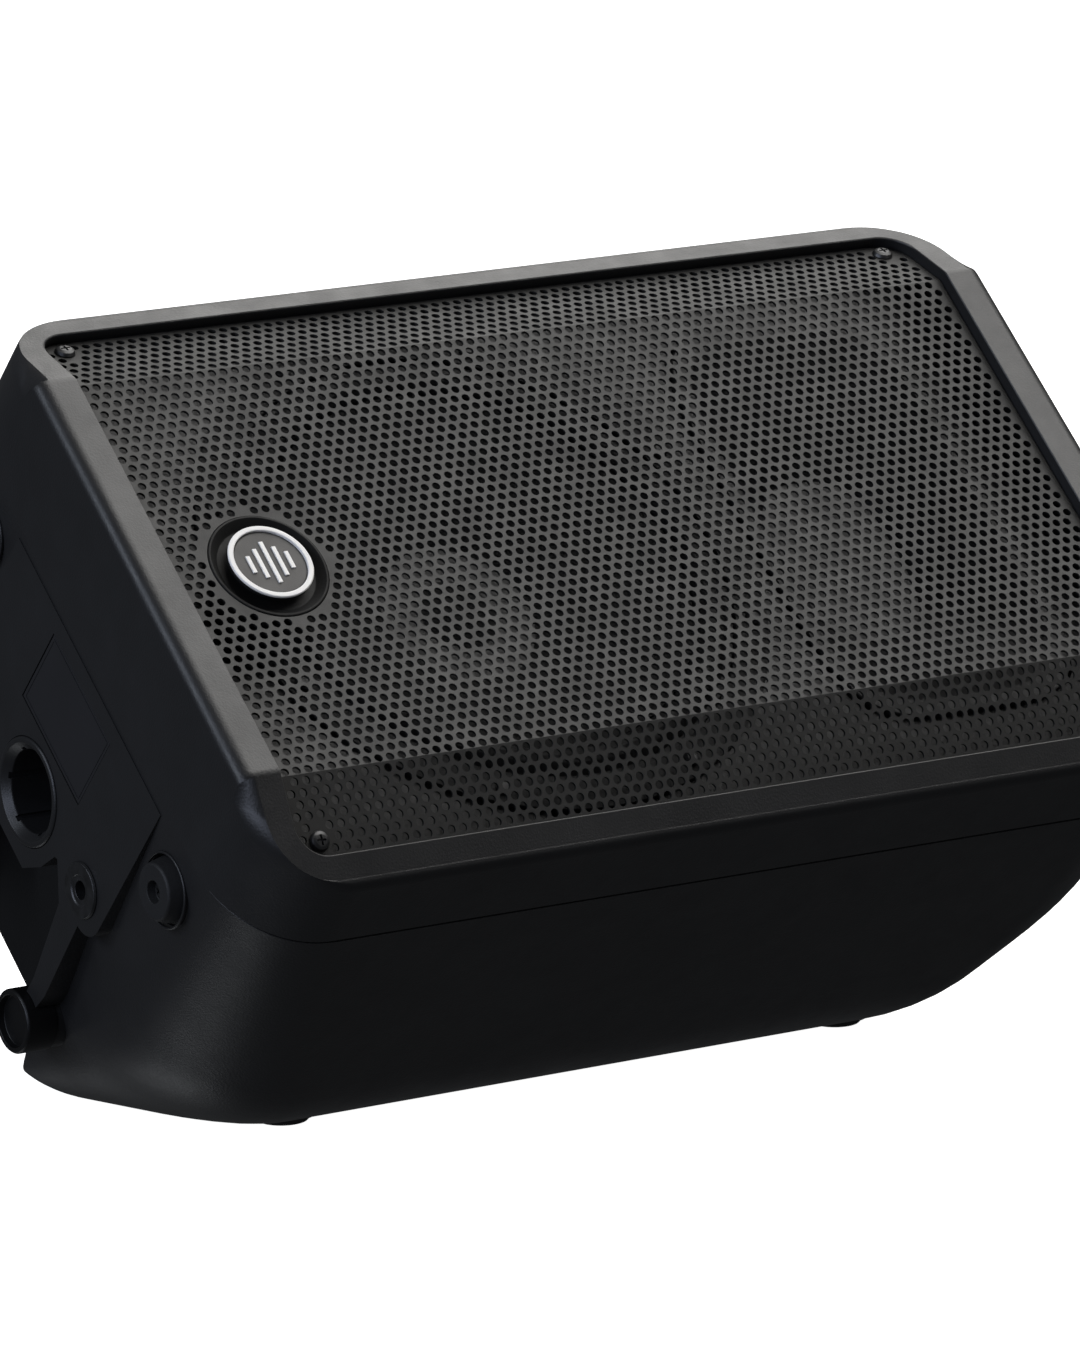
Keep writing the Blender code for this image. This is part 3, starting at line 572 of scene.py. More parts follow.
def notch_points():
    """The cut-away between the rear posts; it bends round the pole cup."""
    half = [(54.5, 380.0), (54.5, 206.0), (47.0, 163.0), (34.0, 149.0), (32.0, 150.0),
            (27.5, 163.0), (18.0, 176.0)]
    return half + [(-y, d) for y, d in reversed(half)]


def panel_prism(longer, wider, below):
    """A block as large as the amplifier panel, from below it to outside the back."""
    half_x, half_y = (AMP_SIZE[0] + longer) / 2, (AMP_SIZE[1] + wider) / 2
    corners = [(AMP_X + sx * half_x, sy * half_y)
               for sx, sy in ((-1, -1), (1, -1), (1, 1), (-1, 1))]
    return capped([[(x, y, z) for x, y in corners]
                   for z in (-AMP_DEPTH - 37.7, -AMP_DEPTH + below)])


def end_prism(points, low, high):
    """A block between two x values, from (y, depth) points on the bottom end."""
    return capped([[(x, y, -d) for y, d in points] for x in (low, high)])


def rear_shell_holes():
    """The holes in the rear shell that other pieces stand in."""
    label = box((42.0, 60.0, 2.2), (0, 0, -PLATEAU_X))
    holes = [on_end(cylinder(24.4, 168.0, 260.0, 64), 0.0, POLE_DEPTH), on_end(label, 0.0, 96.0)]
    holes += both_sides(lambda: cylinder(15.6, 236.5, 260.0), FRONT_FOOT)
    holes += both_sides(lambda: cylinder(14.6, POST_END, 260.0), REAR_POST)
    holes += both_sides(lambda: cylinder(8.3, 230.0, 260.0, 32), INSERT)
    for side in (1, -1):
        place = (0, side * TOP_INSERT[0], -TOP_INSERT[1])
        holes.append(placed(cylinder(8.3, 230.0, 260.0, 32), place, (0, 90, 0)))
    recess = [(0, -5.3), (12.3, -5.3), (12.3, 8.0), (0, 8.0)]
    holes += [placed(turned(recess, 48, 0.0), *rest_foot_place(*spot)) for spot in REST_FEET]
    return merged(holes)


def make_rear_shell():
    pad = end_prism(plateau_points(), PLATEAU_X, -228.0)
    seat = [(0, -9.5), (15.0, -9.5), (15.0, -1.0), (0, -1.0)]
    seats = [placed(turned(seat, 48, 0.0), *rest_foot_place(*spot)) for spot in REST_FEET]
    notch = end_prism(notch_points(), NOTCH_FLOOR - 100.0, NOTCH_FLOOR)
    pocket = box((200.0, 112.0, 66.0), (286.0, 0, -183.0))
    posts = both_sides(lambda: cylinder(13.6, 200.0, POST_END + 8.0), REAR_POST)
    steps = [("DIFFERENCE", panel_prism(1.0, 1.0, 2.3)),
             ("DIFFERENCE", panel_prism(-15.0, -13.0, 40.0)),
             ("UNION", pad), ("UNION", merged(seats)), ("DIFFERENCE", notch),
             ("DIFFERENCE", pocket), ("UNION", merged(posts)),
             ("DIFFERENCE", rear_shell_holes())]
    body = carved(rear_body(), steps, soften=0.6, segments=2, limit=40.0)
    piece("rear_shell_moulding", body, PLASTIC, ["rear_shell"], slot="cabinet_plastic")
    rims = both_sides(lambda: turned([(15.5, 242.0), (16.7, 242.0), (16.7, 243.0), (16.3, 243.4),
                                      (15.8, 243.4), (15.5, 243.1)], 64, 0.2), FRONT_FOOT)
    # A thin sheet on the cut-away floor in the near-black finish: painted shade standing in for the
    # shadow inside the cut-away.
    floor = end_prism(notch_points(), NOTCH_FLOOR - 0.4, NOTCH_FLOOR + 1.0)
    piece("cutaway_painted_shade", carved(rear_body(), [("INTERSECT", floor)]), RECESS_SHADE,
          slot="cabinet_plastic")
    piece("foot_socket_rims", merged(rims), PLASTIC_FINE, slot="cabinet_plastic")


# ------------------------------------------------------------ grille and badge

def lattice(low, high, keep):
    """Staggered hole centres with their rows between two surface distances."""
    spacing = HOLE_PITCH * math.sin(math.radians(60.0))
    centres = []
    first = math.ceil(low / spacing)
    last = math.floor(high / spacing)
    for row in range(first, last + 1):
        shift = 0.25 if row % 2 else -0.25
        for column in range(-45, 46):
            spot = ((column + shift) * HOLE_PITCH, row * spacing)
            if keep(*spot):
                centres.append(spot)
    return centres


def inside_margin(x, y, half_x, half_y, radius, margin):
    """Whether a point lies inside a rounded rectangle by at least a margin."""
    half_x, half_y, radius = half_x - margin, half_y - margin, max(radius - margin, 0.5)
    over_x = max(abs(x) - (half_x - radius), 0.0)
    over_y = max(abs(y) - (half_y - radius), 0.0)
    return math.hypot(over_x, over_y) <= radius


def perforated(edge, rounds, thick):
    """A flat sheet with a convex edge and round holes, closed on all sides."""
    coords = [Vector(p) for p in edge]
    loops = [list(range(len(edge)))]
    for cx, cy, radius, sides in rounds:
        start = len(coords)
        coords += [Vector((cx + radius * math.cos(math.tau * (k + 0.5) / sides),
                           cy + radius * math.sin(math.tau * (k + 0.5) / sides)))
                   for k in range(sides)]
        loops.append(list(range(start, start + sides)))
    owner = {index: n for n, loop in enumerate(loops) for index in loop}
    edges = [(loop[i], loop[(i + 1) % len(loop)]) for loop in loops for i in range(len(loop))]
    flat = geometry.delaunay_2d_cdt(coords, edges, [], 0, 1e-5, True)
    verts, faces, sources = flat[0], flat[2], flat[3]
    names = [min(s) if s else None for s in sources]
    index_of = {name: i for i, name in enumerate(names) if name is not None}
    kept = []
    for face in faces:
        owners = {owner.get(names[i]) for i in face}
        if len(owners) == 1 and owners != {0}:
            continue
        kept.append(face)
    count = len(verts)
    points = [(v.x, v.y, 0.0) for v in verts] + [(v.x, v.y, -thick) for v in verts]
    walls = []
    for loop in loops:
        ring = [index_of[i] for i in loop]
        for i, a in enumerate(ring):
            b = ring[(i + 1) % len(ring)]
            walls.append((a, b, b + count, a + count))
    polygons = [tuple(f) for f in kept] + [tuple(i + count for i in reversed(f)) for f in kept]
    return points, polygons + walls


def strip_height(edge_y):
    """Distance along the surface for a point at y on a side strip."""
    return FLAT_HALF + (abs(edge_y) - FLAT_HALF) / math.cos(math.radians(STRIP_ANGLE))


def make_grille():
    half_x = LENGTH / 2 - EDGE_INSET - RIM_WIDTH - 0.6
    half_y = FRONT_HALF - STRIP_RIM - 0.6
    radius = 13.4
    full = centred_outline(half_x, half_y, radius, folds=False, steps=12)
    reach = strip_height(half_y)
    screw_up = strip_height(GRILLE_SCREW[1])
    sides = 12

    def mid_keep(x, y):
        return (math.hypot(x - BADGE_X, y) > BADGE_HOLE + HOLE_RADIUS + 0.5
                and abs(x) < half_x - HOLE_RADIUS - 1.2)

    def strip_keep(x, y):
        return (inside_margin(x, y, half_x, reach, radius, HOLE_RADIUS + 1.4)
                and math.hypot(abs(x) - GRILLE_SCREW[0], abs(y) - screw_up) > 6.6)

    edge = [(half_x, -FLAT_HALF), (half_x, FLAT_HALF), (-half_x, FLAT_HALF),
            (-half_x, -FLAT_HALF)]
    rounds = [(x, y, HOLE_RADIUS, sides)
              for x, y in lattice(-FLAT_HALF + 2.0, FLAT_HALF - 2.0, mid_keep)]
    rounds.append((BADGE_X, 0.0, BADGE_HOLE, 64))
    points, faces = perforated(edge, rounds, GRILLE_THICK)
    middle = [(x, y, z - GRILLE_DEPTH) for x, y, z in points]
    sheet("grille_middle", middle, faces, ["grille"])
    for side, name in ((1, "grille_upper_strip"), (-1, "grille_lower_strip")):
        rim = [(x, side * y) for x, y in full if y >= FLAT_HALF + 0.01]
        edge = [(half_x, side * FLAT_HALF)]
        edge += [(x, side * strip_height(y)) for x, y in rim]
        edge.append((-half_x, side * FLAT_HALF))
        low, high = sorted((side * (FLAT_HALF + 1.0), side * reach))
        rounds = [(x, y, HOLE_RADIUS, sides) for x, y in lattice(low, high, strip_keep)]
        rounds += [(sx * GRILLE_SCREW[0], side * screw_up, 2.4, 20) for sx in (1, -1)]
        points, faces = perforated(edge, rounds, GRILLE_THICK)
        fold = Matrix.Rotation(math.radians(-side * STRIP_ANGLE), 4, "X")
        bent = []
        for x, y, z in points:
            shifted = fold @ Vector((x, y - side * FLAT_HALF, z))
            bent.append((shifted.x, shifted.y + side * FLAT_HALF, shifted.z - GRILLE_DEPTH))
        sheet(name, bent, faces, ["grille"])


def sheet(name, points, faces, nodes):
    mesh = bpy.data.meshes.new(name)
    mesh.from_pydata([tuple(c * MM for c in p) for p in points], [], faces)
    bm = bmesh.new()
    bm.from_mesh(mesh)
    bmesh.ops.recalc_face_normals(bm, faces=bm.faces)
    bm.to_mesh(mesh)
    bm.free()
    return dressed(name, mesh, POWDER, nodes, "cabinet", 50.0, False)


def screw(head_radius, head_height, shank, recess):
    """A pan-head screw with a cross recess in its head."""
    profile = [(0, head_height), (head_radius * 0.55, head_height * 0.97),
               (head_radius * 0.85, head_height * 0.7), (head_radius, 0.3), (shank, 0.3),
               (shank, -6.0), (0, -6.0)]
    head = turned(profile, 32, 0.3)
    cross = [box((recess * 2, recess * 0.45, 2.4), (0, 0, head_height)),
             box((recess * 0.45, recess * 2, 2.4), (0, 0, head_height))]
    return carved(head, [("DIFFERENCE", cross[0]), ("DIFFERENCE", cross[1])])


def make_grille_fixings():
    sx, sy = GRILLE_SCREW
    plane = front_drop(sy) + GRILLE_DEPTH
    n = 0
    for ky in (1, -1):
        for kx in (-1, 1):
            n += 1
            spot = {"place": (kx * sx, ky * sy, -plane), "turn": (-ky * STRIP_ANGLE, 0, 0)}
            piece(f"grille_screw_head_{n}", screw(4.7, 2.6, 2.0, 2.2), ZINC,
                  [f"grille_screw_{n}"], slot="black_zinc", **spot)


def make_badge():
    cup = [(0, -10.5), (26.9, -10.5), (26.9, -5.2), (25.9, -4.9), (22.0, -8.4), (5.6, -8.4),
           (5.6, -9.6), (0, -9.6)]
    # The cup behind the grille takes the near-black finish: painted shade for the dark recess round
    # the badge.
    piece("badge_cup_moulding", turned(cup, 96, 0.4), RECESS_SHADE, ["badge_cup"],
          slot="control_plastic", place=(BADGE_X, 0, 0))
    back = [(0, -3.5), (19.0, -3.5), (19.1, -4.6), (18.4, -5.2), (5.2, -5.2), (5.2, -9.2),
            (0, -9.2)]
    ring = [(16.6, -3.4), (16.6, -2.2), (17.0, -2.0), (18.8, -2.0), (19.2, -2.4), (19.2, -2.9),
            (18.8, -3.4)]
    # The disc body takes the same near-black painted-shade finish.
    piece("badge_disc_body", turned(back, 96, 0.15), RECESS_SHADE, ["badge"], body="badge_disc",
          slot="badge_plastic", place=(BADGE_X, 0, 0))
    face = [(0, -3.1), (16.0, -3.1), (16.5, -3.3), (16.5, -3.6), (0, -3.6)]
    piece("badge_face", turned(face, 96, 0.1), BADGE_FACE, body="badge_disc",
          slot="badge_plastic", place=(BADGE_X, 0, 0))
    # A plain emblem: five upright bars, standing for sound level.
    bars = [box((2.0, 22.0 - 6.5 * abs(k), 0.9), (4.7 * k, 0.0, -2.9), 0.25, 2)
            for k in range(-2, 3)]
    piece("badge_trim", merged([turned(ring, 96, 0.3), *bars]), BADGE_RING,
          body="badge_disc", slot="badge_plastic", place=(BADGE_X, 0, 0))


# -------------------------------------------------------------------- drivers

def make_woofer():
    place = (WOOFER_X, 0, 0)
    rim = [(115.5, -26.8), (131.0, -26.8), (131.0, -29.7), (116.8, -29.7), (116.0, -38.0),
           (64.0, -86.0), (64.0, -90.0), (46.0, -90.0), (46.0, -86.5), (60.5, -82.5),
           (112.5, -36.0), (112.5, -30.4), (115.5, -30.4)]
    piece("woofer_basket", turned(rim, 128, 0.5), CASTING, ["woofer_frame"],
          slot="basket_steel", place=place)
    bolts = [placed(turned([(0, -24.4), (2.4, -24.4), (3.6, -25.4), (3.6, -26.8), (0, -26.8)], 20,
                           0.3), (WOOFER_X + 123.5 * math.cos(a), 123.5 * math.sin(a), 0))
             for a in (math.tau * (k + 0.5) / 8 for k in range(8))]
    piece("woofer_bolts", merged(bolts), ZINC, slot="black_zinc")
    roll = [(97.6, -29.2), (99.0, -27.0), (101.6, -24.4), (105.0, -23.2), (108.4, -24.4),
            (111.0, -27.0), (112.2, -28.8), (115.0, -28.8), (115.0, -30.0), (111.2, -30.0),
            (107.6, -25.6), (105.0, -24.8), (102.4, -25.6), (98.8, -30.4), (97.6, -30.4)]
    piece("woofer_roll", turned(roll, 128, 0.3), RUBBER, ["woofer_surround"],
          slot="black_rubber", place=place)
    cone = [(0.0, -56.0), (8.0, -56.6), (14.0, -58.5), (21.0, -61.4), (25.6, -64.8), (27.0, -66.0),
            (29.0, -64.2), (45.0, -55.2), (60.0, -47.5), (72.0, -41.8), (84.0, -35.6),
            (97.0, -29.4), (97.0, -30.8), (84.0, -37.2), (60.0, -49.4), (22.0, -71.6),
            (21.4, -84.0), (20.4, -84.0), (20.4, -66.0), (12.0, -60.6), (0.0, -58.2)]
    piece("woofer_diaphragm", turned(cone, 128, 0.4), CONE_PAPER, ["woofer_cone"],
          body="cone", slot="cone_paper", place=place)


def horn_section(depth, grow=0.0, count=72):
    share = (depth - 27.0) / 65.0
    flare = (1.0 - share) ** 1.6
    half_x = 17.0 + 41.0 * flare + grow
    half_y = 17.0 + 86.0 * flare + grow
    power = 2.0 + 2.6 * flare
    points = []
    for k in range(count):
        angle = math.tau * k / count
        c, s = math.cos(angle), math.sin(angle)
        points.append((half_x * math.copysign(abs(c) ** (2.0 / power), c),
                       half_y * math.copysign(abs(s) ** (2.0 / power), s), -depth))
    return points


def make_horn():
    depths = [27.0, 28.0, 29.5, 32.0, 36.0, 41.0, 47.0, 54.0, 62.0, 71.0, 81.0, 92.0]
    inside = [horn_section(d) for d in depths]
    outside = [horn_section(d, 2.6) for d in reversed(depths[4:])]
    back = [(p[0], p[1], -29.7) for p in horn_section(31.0, 2.6)]
    flange_back = [(p[0], p[1], -29.7) for p in horn_section(27.0, 7.5)]
    flange_edge = [(p[0], p[1], -27.3) for p in horn_section(27.0, 7.5)]
    flange_front = [(p[0], p[1], -26.8) for p in horn_section(27.0, 7.0)]
    rings = inside + outside + [back, flange_back, flange_edge, flange_front]
    piece("horn_moulding", looped(rings), PLASTIC_FINE, ["horn"], slot="cabinet_plastic",
          place=(HORN_X, 0, 0))


# ----------------------------------------------------------------- end pieces

def rest_foot_place(x, depth):
    angle = math.radians(MONITOR_ANGLE)
    y = -(WIDTH / 2 - (depth - REST_CREASE) * math.tan(angle))
    return (x, y, -depth), (90.0 + MONITOR_ANGLE, 0, 0)


def make_end_pieces():
    cup = [(0, 172.0), (0, 168.0), (22.0, 168.0), (24.1, 170.0), (24.1, 243.9), (23.2, 244.6),
           (21.6, 244.6), (18.2, 241.0), (18.2, 172.0)]
    slots = []
    for a in (math.tau * k / 6 for k in range(6)):
        place = (18.6 * math.cos(a), 18.6 * math.sin(a), 218.0)
        slots.append(placed(box((1.2, 3.0, 50.0)), place, (0, 0, math.degrees(a))))
    shell = carved(turned(cup, 96, 0.5), [("DIFFERENCE", merged(slots))])
    piece("pole_cup_moulding", shell, PLASTIC_FINE, ["pole_cup"], slot="cabinet_plastic",
          place=(0, 0, -POLE_DEPTH), turn=(0, -90, 0))
    insert = [(0, 234.0), (0, 230.0), (8.0, 230.0), (8.0, 243.8), (12.6, 243.8), (12.0, 245.0),
              (7.0, 245.0), (6.4, 244.4), (4.2, 244.4), (4.2, 234.0)]
    y, depth = INSERT
    top_y, top_depth = TOP_INSERT
    spots = (((0, -y, -depth), (0, -90, 0)), ((0, y, -depth), (0, -90, 0)),
             ((-0.5, -top_y, -top_depth), (0, 90, 0)), ((-0.5, top_y, -top_depth), (0, 90, 0)))
    for n, (place, turn) in enumerate(spots, start=1):
        piece(f"rigging_insert_body_{n}", turned(insert, 64, 0.25), ZINC, [f"rigging_insert_{n}"],
              slot="black_zinc", place=place, turn=turn)
    foot = [(0, 236.8), (15.0, 236.8), (14.6, 240.0), (12.4, FEET_PLANE - 0.8), (11.6, FEET_PLANE),
            (5.0, FEET_PLANE), (4.4, FEET_PLANE - 4.0), (0, FEET_PLANE - 4.0)]
    boot = [(0, POST_END + 0.3), (14.2, POST_END + 0.3), (14.2, FEET_PLANE - 1.0),
            (13.4, FEET_PLANE), (11.6, FEET_PLANE), (11.0, FEET_PLANE - 3.0),
            (0, FEET_PLANE - 3.0)]
    for n, side in ((1, -1), (2, 1)):
        piece(f"front_foot_pad_{n}", turned(foot, 64, 0.5), RUBBER, [f"front_foot_{n}"],
              slot="black_rubber", place=(0, side * FRONT_FOOT[0], -FRONT_FOOT[1]),
              turn=(0, -90, 0))
        bolt = placed(screw(3.6, 1.4, 1.5, 1.8), (0, 0, FEET_PLANE - 4.0))
        piece(f"front_foot_screw_{n}", bolt, ZINC, slot="black_zinc",
              place=(0, side * FRONT_FOOT[0], -FRONT_FOOT[1]), turn=(0, -90, 0))
        piece(f"rear_foot_boot_{n}", turned(boot, 64, 0.4), BOOT, [f"rear_foot_{n}"],
              slot="black_rubber", place=(0, side * REAR_POST[0], -REAR_POST[1]),
              turn=(0, -90, 0))
    rest = [(0, -5.0), (12.0, -5.0), (12.0, 0.9), (11.0, 1.9), (6.0, 1.9), (5.4, 0.4), (0, 0.4)]
    for n, spot in enumerate(REST_FEET, start=1):
        place, turn = rest_foot_place(*spot)
        piece(f"rest_foot_pad_{n}", turned(rest, 48, 0.5), RUBBER, [f"rest_foot_{n}"],
              slot="black_rubber", place=place, turn=turn)
    film = box((41.2, 59.2, 0.6), (0, 0, 243.0), 0.25, 2)
    border = carved(box((38.4, 56.4, 0.3), (0, 0, 243.35)),
                    [("DIFFERENCE", box((37.4, 55.4, 2.0), (0, 0, 243.35)))])
    piece("label_film_plate", merged([film, border]), LABEL, ["label_plate"],
          slot="label_film", place=(0, 0, -96.0), turn=(0, -90, 0))


def make_handle():
    bar = box((22.0, 111.4, 27.0), (0, 0, 0), 5.0, 6)
    ribs = [placed(box((19.0, 2.4, 1.4), (0, 0, 0), 0.5, 2), (0, 7.0 * k, 13.3))
            for k in range(-6, 7)]
    slope = math.degrees(math.atan(TOP_SLOPE))
    piece("carry_handle_bar", merged([bar, *ribs]), PLASTIC, ["carry_handle"],
          slot="cabinet_plastic", place=(213.0, 0, -168.0), turn=(0, slope, 0))


# ------------------------------------------------------------ amplifier panel

def panel_piece(name, bm, look, nodes=(), x=0.0, y=0.0, **more):
    """A piece on the amplifier panel; its local z points out of the back."""
    return piece(name, bm, look, nodes, place=(AMP_X + x, y, -AMP_DEPTH), turn=(180, 0, 0),
                 **more)


def make_panel():
    length, width = AMP_SIZE
    # The plate and its print are drawn turned over, so their own y runs the other way.
    holes = [placed(box((28.6, 20.6, 20.0)), (-118.0, -30.0, 0)),
             placed(box((22.4, 13.4, 20.0)), (-118.0, 28.0, 0))]
    for x in SOCKETS_X:
        holes.append(placed(cylinder(11.9, -20.0, 20.0, 48), (x, -SOCKETS_Y, 0)))
        holes.append(placed(box((8.0, 8.0, 20.0)), (x, -BUTTONS_Y, 0)))
    corners = [(sx * (length / 2 - 4.4), sy * (width / 2 - 4.4)) for sy in (1, -1)
               for sx in (-1, 1)]
    holes += [placed(cylinder(1.9, -10.0, 10.0, 24), (x, y, 0)) for x, y in corners]
    plate = carved(box((length, width, 2.0), (0, 0, -1.0)), [("DIFFERENCE", merged(holes))],
                   soften=0.3, segments=2)
    panel_piece("amp_panel_plate", plate, PANEL, ["amp_panel"], slot="amp_panel_paint")
    for n, (x, y) in enumerate(corners, start=1):
        panel_piece(f"panel_screw_head_{n}", screw(3.6, 2.2, 1.5, 1.8), ZINC,
                    [f"panel_screw_{n}"], x, y, slot="black_zinc")
    marks = []
    for x in SOCKETS_X[:2]:
        for k in range(11):
            angle = math.radians(240.0 - 30.0 * k)
            marks.append(placed(cylinder(0.55, 0.0, 0.12, 10),
                                (x + 9.6 * math.cos(angle), -KNOBS_Y + 9.6 * math.sin(angle), 0)))
    for x in SOCKETS_X:
        marks.append(box((0.7, 7.0, 0.12), (x - 14.6, -SOCKETS_Y, 0.06)))
        marks.append(box((9.0, 0.6, 0.12), (x, -BUTTONS_Y - 8.0, 0.06)))
    marks.append(box((0.7, 96.0, 0.12), (26.0, 0, 0.06)))
    marks.append(box((0.7, 96.0, 0.12), (-92.0, 0, 0.06)))
    panel_piece("panel_scale_marks", merged(marks), PRINT, slot="amp_panel_paint")


def make_heat_sink():
    fins, pitch, half_fin, half = 9, 11.0, 1.1, 46.0
    section = [(-half, 0.3), (-half, 2.8)]
    for n in range(fins):
        y = (n - (fins - 1) / 2) * pitch
        left = max(y - half_fin, -half) if n == 0 else y - half_fin
        right = min(y + half_fin, half) if n == fins - 1 else y + half_fin
        if n:
            section.append((left, 2.8))
        section += [(left, 7.8), (left + 0.4, 8.2), (right - 0.4, 8.2), (right, 7.8)]
        if n < fins - 1:
            section.append((right, 2.8))
    section += [(half, 2.8), (half, 0.3)]
    comb = capped([[(x, y, z) for y, z in section] for x in (-50.0, 50.0)])
    panel_piece("heat_sink_fins", comb, ALLOY, ["heat_sink"], 94.0, slot="heatsink_alloy")


def make_power():
    length, width = 28.0, 20.0
    body = carved(box((length, width, 20.6), (0, 0, -6.7)), [
        ("UNION", box((length + 8.0, width + 7.0, 3.0), (0, 0, 2.1), 0.9, 3)),
        ("DIFFERENCE", box((length - 3.6, width - 3.4, 34.0), (0, 0, 3.0), 2.5, 3))], 0.25, 2)
    at = (-118.0, 30.0)
    panel_piece("power_inlet_body", body, GLOSS, ["power_inlet"], *at, slot="control_plastic")
    pins = [box((2.0, 4.0, 12.0), (7.0 * k, -2.0 if k else 2.6, -9.0), 0.5, 2)
            for k in (-1, 0, 1)]
    panel_piece("power_inlet_pins", merged(pins), ZINC, (), *at, slot="black_zinc")
    side = [(-6.0, -7.6), (6.0, -7.6), (9.6, 0.6), (5.0, 1.0), (0.0, 2.0), (-5.0, 3.2), (-9.6, 4.6)]
    key = capped([[(x, y, z) for x, z in side] for y in (-6.0, 6.0)])
    bmesh.ops.bevel(key, geom=list(key.edges), offset=0.4, segments=2, affect="EDGES")
    at = (-118.0, -28.0)
    panel_piece("power_rocker_key", key, GLOSS, ["power_rocker"], *at, body="power_key",
                slot="control_plastic")
    ring = carved(box((28.0, 19.0, 2.6), (0, 0, 1.6), 0.8),
                  [("DIFFERENCE", box((22.4, 13.4, 20.0)))], 0.2, 2)
    panel_piece("rocker_frame_ring", ring, PLASTIC_FINE, ["rocker_frame"], *at,
                slot="control_plastic")


def make_sockets():
    cup = [(0, -19.0), (11.6, -19.0), (11.6, 0.3), (13.8, 0.3), (13.2, 3.4), (9.4, 3.4),
           (9.0, -17.0), (0, -17.0)]
    names = ("input_socket_1", "input_socket_2", "link_socket")
    for n, (name, x) in enumerate(zip(names, SOCKETS_X)):
        latch = box((6.0, 2.6, 1.6), (0, 11.3, 3.6), 0.5, 2)
        panel_piece(f"{name}_shell", merged([turned(cup, 64, 0.5), latch]), GLOSS, [name], x,
                    SOCKETS_Y, slot="control_plastic")
        ring = 4.6
        pins = [placed(cylinder(1.2, -17.0, -8.0 if n < 2 else -4.0, 20, 0.4),
                       (ring * math.cos(a), ring * math.sin(a), 0))
                for a in (math.radians(d) for d in (90.0, 210.0, 330.0))]
        panel_piece(f"{name}_contacts", merged(pins), CONTACT, (), x, SOCKETS_Y,
                    slot="black_zinc")


def make_controls():
    for n, x in enumerate(SOCKETS_X[:2], start=1):
        flutes = [placed(cylinder(0.7, 0.0, 8.0, 16), (6.5 * math.cos(a), 6.5 * math.sin(a), 0))
                  for a in (math.tau * (k + 0.5) / 16 for k in range(16))]
        mark = box((1.2, 5.0, 2.0), (0, 4.0, 6.6))
        knob = turned([(0, 0.3), (6.4, 0.3), (6.3, 5.4), (5.6, 6.4), (0, 6.4)], 96, 0.4)
        knob = carved(knob, [("DIFFERENCE", merged(flutes)), ("DIFFERENCE", mark)])
        panel_piece(f"level_knob_cap_{n}", knob, GLOSS, [f"level_knob_{n}"], x, KNOBS_Y,
                    body=f"knob_{n}", slot="control_plastic")
        pointer = box((0.9, 4.6, 0.5), (0, 4.0, 5.8))
        panel_piece(f"level_knob_pointer_{n}", pointer, PRINT, (), x, KNOBS_Y,
                    body=f"knob_{n}", slot="control_plastic")
    lamp = [(0, 0.3), (2.4, 0.3), (2.4, 1.4), (1.4, 2.2), (0, 2.2)]
    for name, look, shift in (("power_lamp", LENS, -5.0), ("limit_lamp", LENS_AMBER, 5.0)):
        panel_piece(f"{name}_lens", turned(lamp, 40, 0.5), look, [name], SOCKETS_X[2] + shift,
                    KNOBS_Y, slot="lens_plastic")
    dish = [(0, 3.7), (2.4, 4.4), (2.4, 6.0), (0, 6.0)]
    for name, x in zip(("filter", "contour", "mix"), SOCKETS_X):
        cap = carved(box((7.0, 7.0, 6.0), (0, 0, 1.2), 0.8),
                     [("DIFFERENCE", turned(dish, 32, 0))])
        panel_piece(f"{name}_button_cap", cap, GLOSS, [f"{name}_button"], x, BUTTONS_Y,
                    body=f"{name}_key", slot="control_plastic")


def dress_inner_nodes():
    """The pieces inside the cabinet keep their CAD shape and get a real finish."""
    looks = {"woofer_magnet": FERRITE, "compression_driver": FERRITE, "amp_chassis": ZINC,
             "circuit_board": BOARD, "transformer": CASTING}
    for name, look in looks.items():
        mesh = frame["nodes"][name].data
        mesh.materials.clear()
        mesh.materials.append(look)


# ------------------------------------------------------- floor, lights, camera

def make_stage():
    bpy.ops.mesh.primitive_plane_add(size=60.0)
    floor = bpy.context.object
    floor.name = "floor"
    look = bpy.data.materials.new("floor_paper")
    look.use_nodes = True
    shader = look.node_tree.nodes["Principled BSDF"]
    shader.inputs["Base Color"].default_value = (0.9, 0.9, 0.9, 1.0)
    shader.inputs["Roughness"].default_value = 0.9
    shader.inputs["Emission Color"].default_value = (1.0, 1.0, 1.0, 1.0)
    shader.inputs["Emission Strength"].default_value = 1.0
    floor.data.materials.append(look)
    floor.visible_diffuse = False
    floor.visible_glossy = False
    floor.visible_shadow = False
    world = bpy.data.worlds.new("studio")
    bpy.context.scene.world = world
    world.use_nodes = True
    tree = world.node_tree
    seen = tree.nodes["Background"]
    seen.inputs["Color"].default_value = (1.0, 1.0, 1.0, 1.0)
    fill = tree.nodes.new("ShaderNodeBackground")
    fill.inputs["Color"].default_value = (0.92, 0.95, 1.0, 1.0)
    fill.inputs["Strength"].default_value = 0.06
    path = tree.nodes.new("ShaderNodeLightPath")
    mix = tree.nodes.new("ShaderNodeMixShader")
    tree.links.new(path.outputs["Is Camera Ray"], mix.inputs["Fac"])
    tree.links.new(fill.outputs["Background"], mix.inputs[1])
    tree.links.new(seen.outputs["Background"], mix.inputs[2])
    tree.links.new(mix.outputs["Shader"], tree.nodes["World Output"].inputs["Surface"])


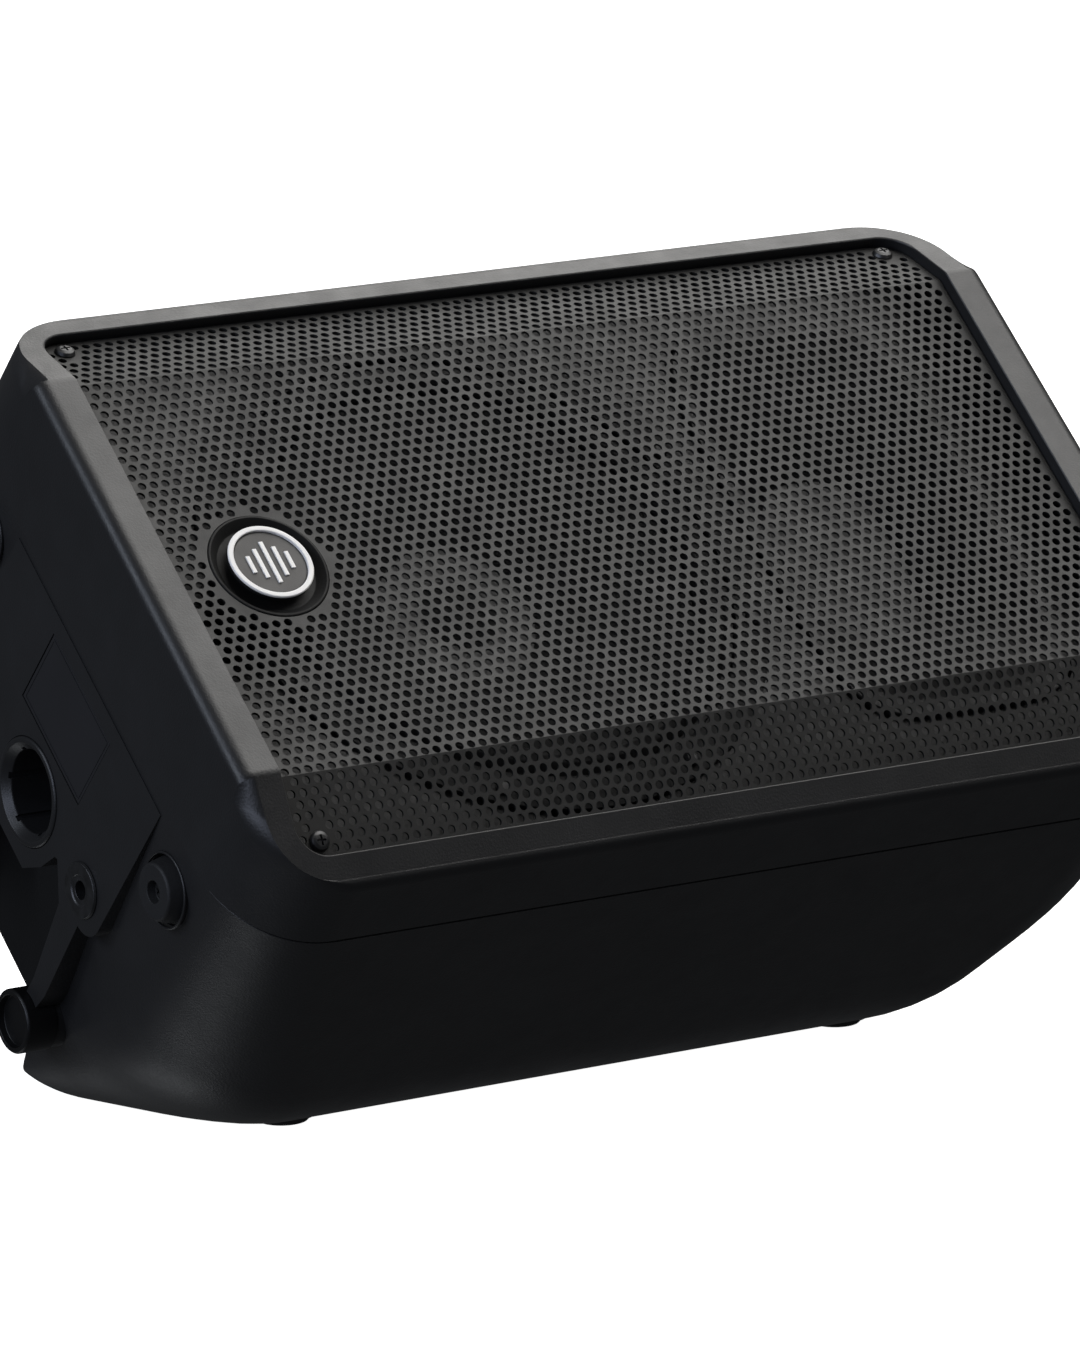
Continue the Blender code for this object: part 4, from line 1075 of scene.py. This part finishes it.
def aimed(obj, direction, distance, target):
    """Stands an object off its target and points it back at it."""
    away = Vector(direction).normalized()
    obj.location = target + away * distance
    obj.rotation_euler = (-away).to_track_quat("-Z", "Y").to_euler()


def softbox(name, direction, distance, size, power, colour=(1.0, 1.0, 1.0)):
    data = bpy.data.lights.new(name, "AREA")
    data.shape = "RECTANGLE"
    data.size, data.size_y = size
    data.energy = power
    data.color = colour
    light = bpy.data.objects.new(name, data)
    bpy.context.collection.objects.link(light)
    light.visible_camera = False
    aimed(light, direction, distance, FRONT_CENTRE)


def make_lights():
    softbox("overhead", (0.42, -0.05, 0.90), 2.4, (2.0, 2.4), 58.0, (1.0, 0.985, 0.96))
    softbox("back_right", (0.52, 0.56, 0.64), 2.6, (1.3, 1.1), 17.0, (1.0, 0.985, 0.96))
    softbox("edge_left", (-0.86, 0.20, 0.47), 2.3, (0.16, 0.9), 8.5, (0.80, 0.88, 1.0))
    softbox("side_fill", (-0.95, -0.25, 0.25), 2.6, (1.6, 1.6), 21.0, (0.71, 0.79, 1.0))
    softbox("front_low", (0.35, -0.92, 0.06), 3.2, (2.0, 0.8), 2.4, (1.0, 1.0, 1.0))
    softbox("floor_bounce", (-0.28, 0.46, -0.84), 1.9, (0.45, 0.7), 1.2, (0.92, 0.96, 1.0))


def make_camera():
    data = bpy.data.cameras.new("camera")
    data.sensor_fit = "HORIZONTAL"
    data.sensor_width = 36.0
    data.lens = 292.11
    data.clip_end = 100.0
    camera = bpy.data.objects.new("camera", data)
    bpy.context.collection.objects.link(camera)
    camera.location = FRONT_CENTRE + Vector((-2.05924, -3.04898, 0.74048))
    turn = Euler((math.radians(90.0 - 12.4594), 0.0, math.radians(-33.4394))).to_matrix()
    roll = Matrix.Rotation(math.radians(-0.3005), 3, "Z")
    camera.rotation_euler = (turn @ roll).to_euler()
    bpy.context.scene.camera = camera


make_front_shell()
make_rear_shell()
make_grille()
make_grille_fixings()
make_badge()
make_woofer()
make_horn()
make_end_pieces()
make_handle()
make_panel()
make_heat_sink()
make_power()
make_sockets()
make_controls()
dress_inner_nodes()
make_stage()
make_lights()
make_camera()
bpy.context.scene.view_settings.view_transform = "Standard"
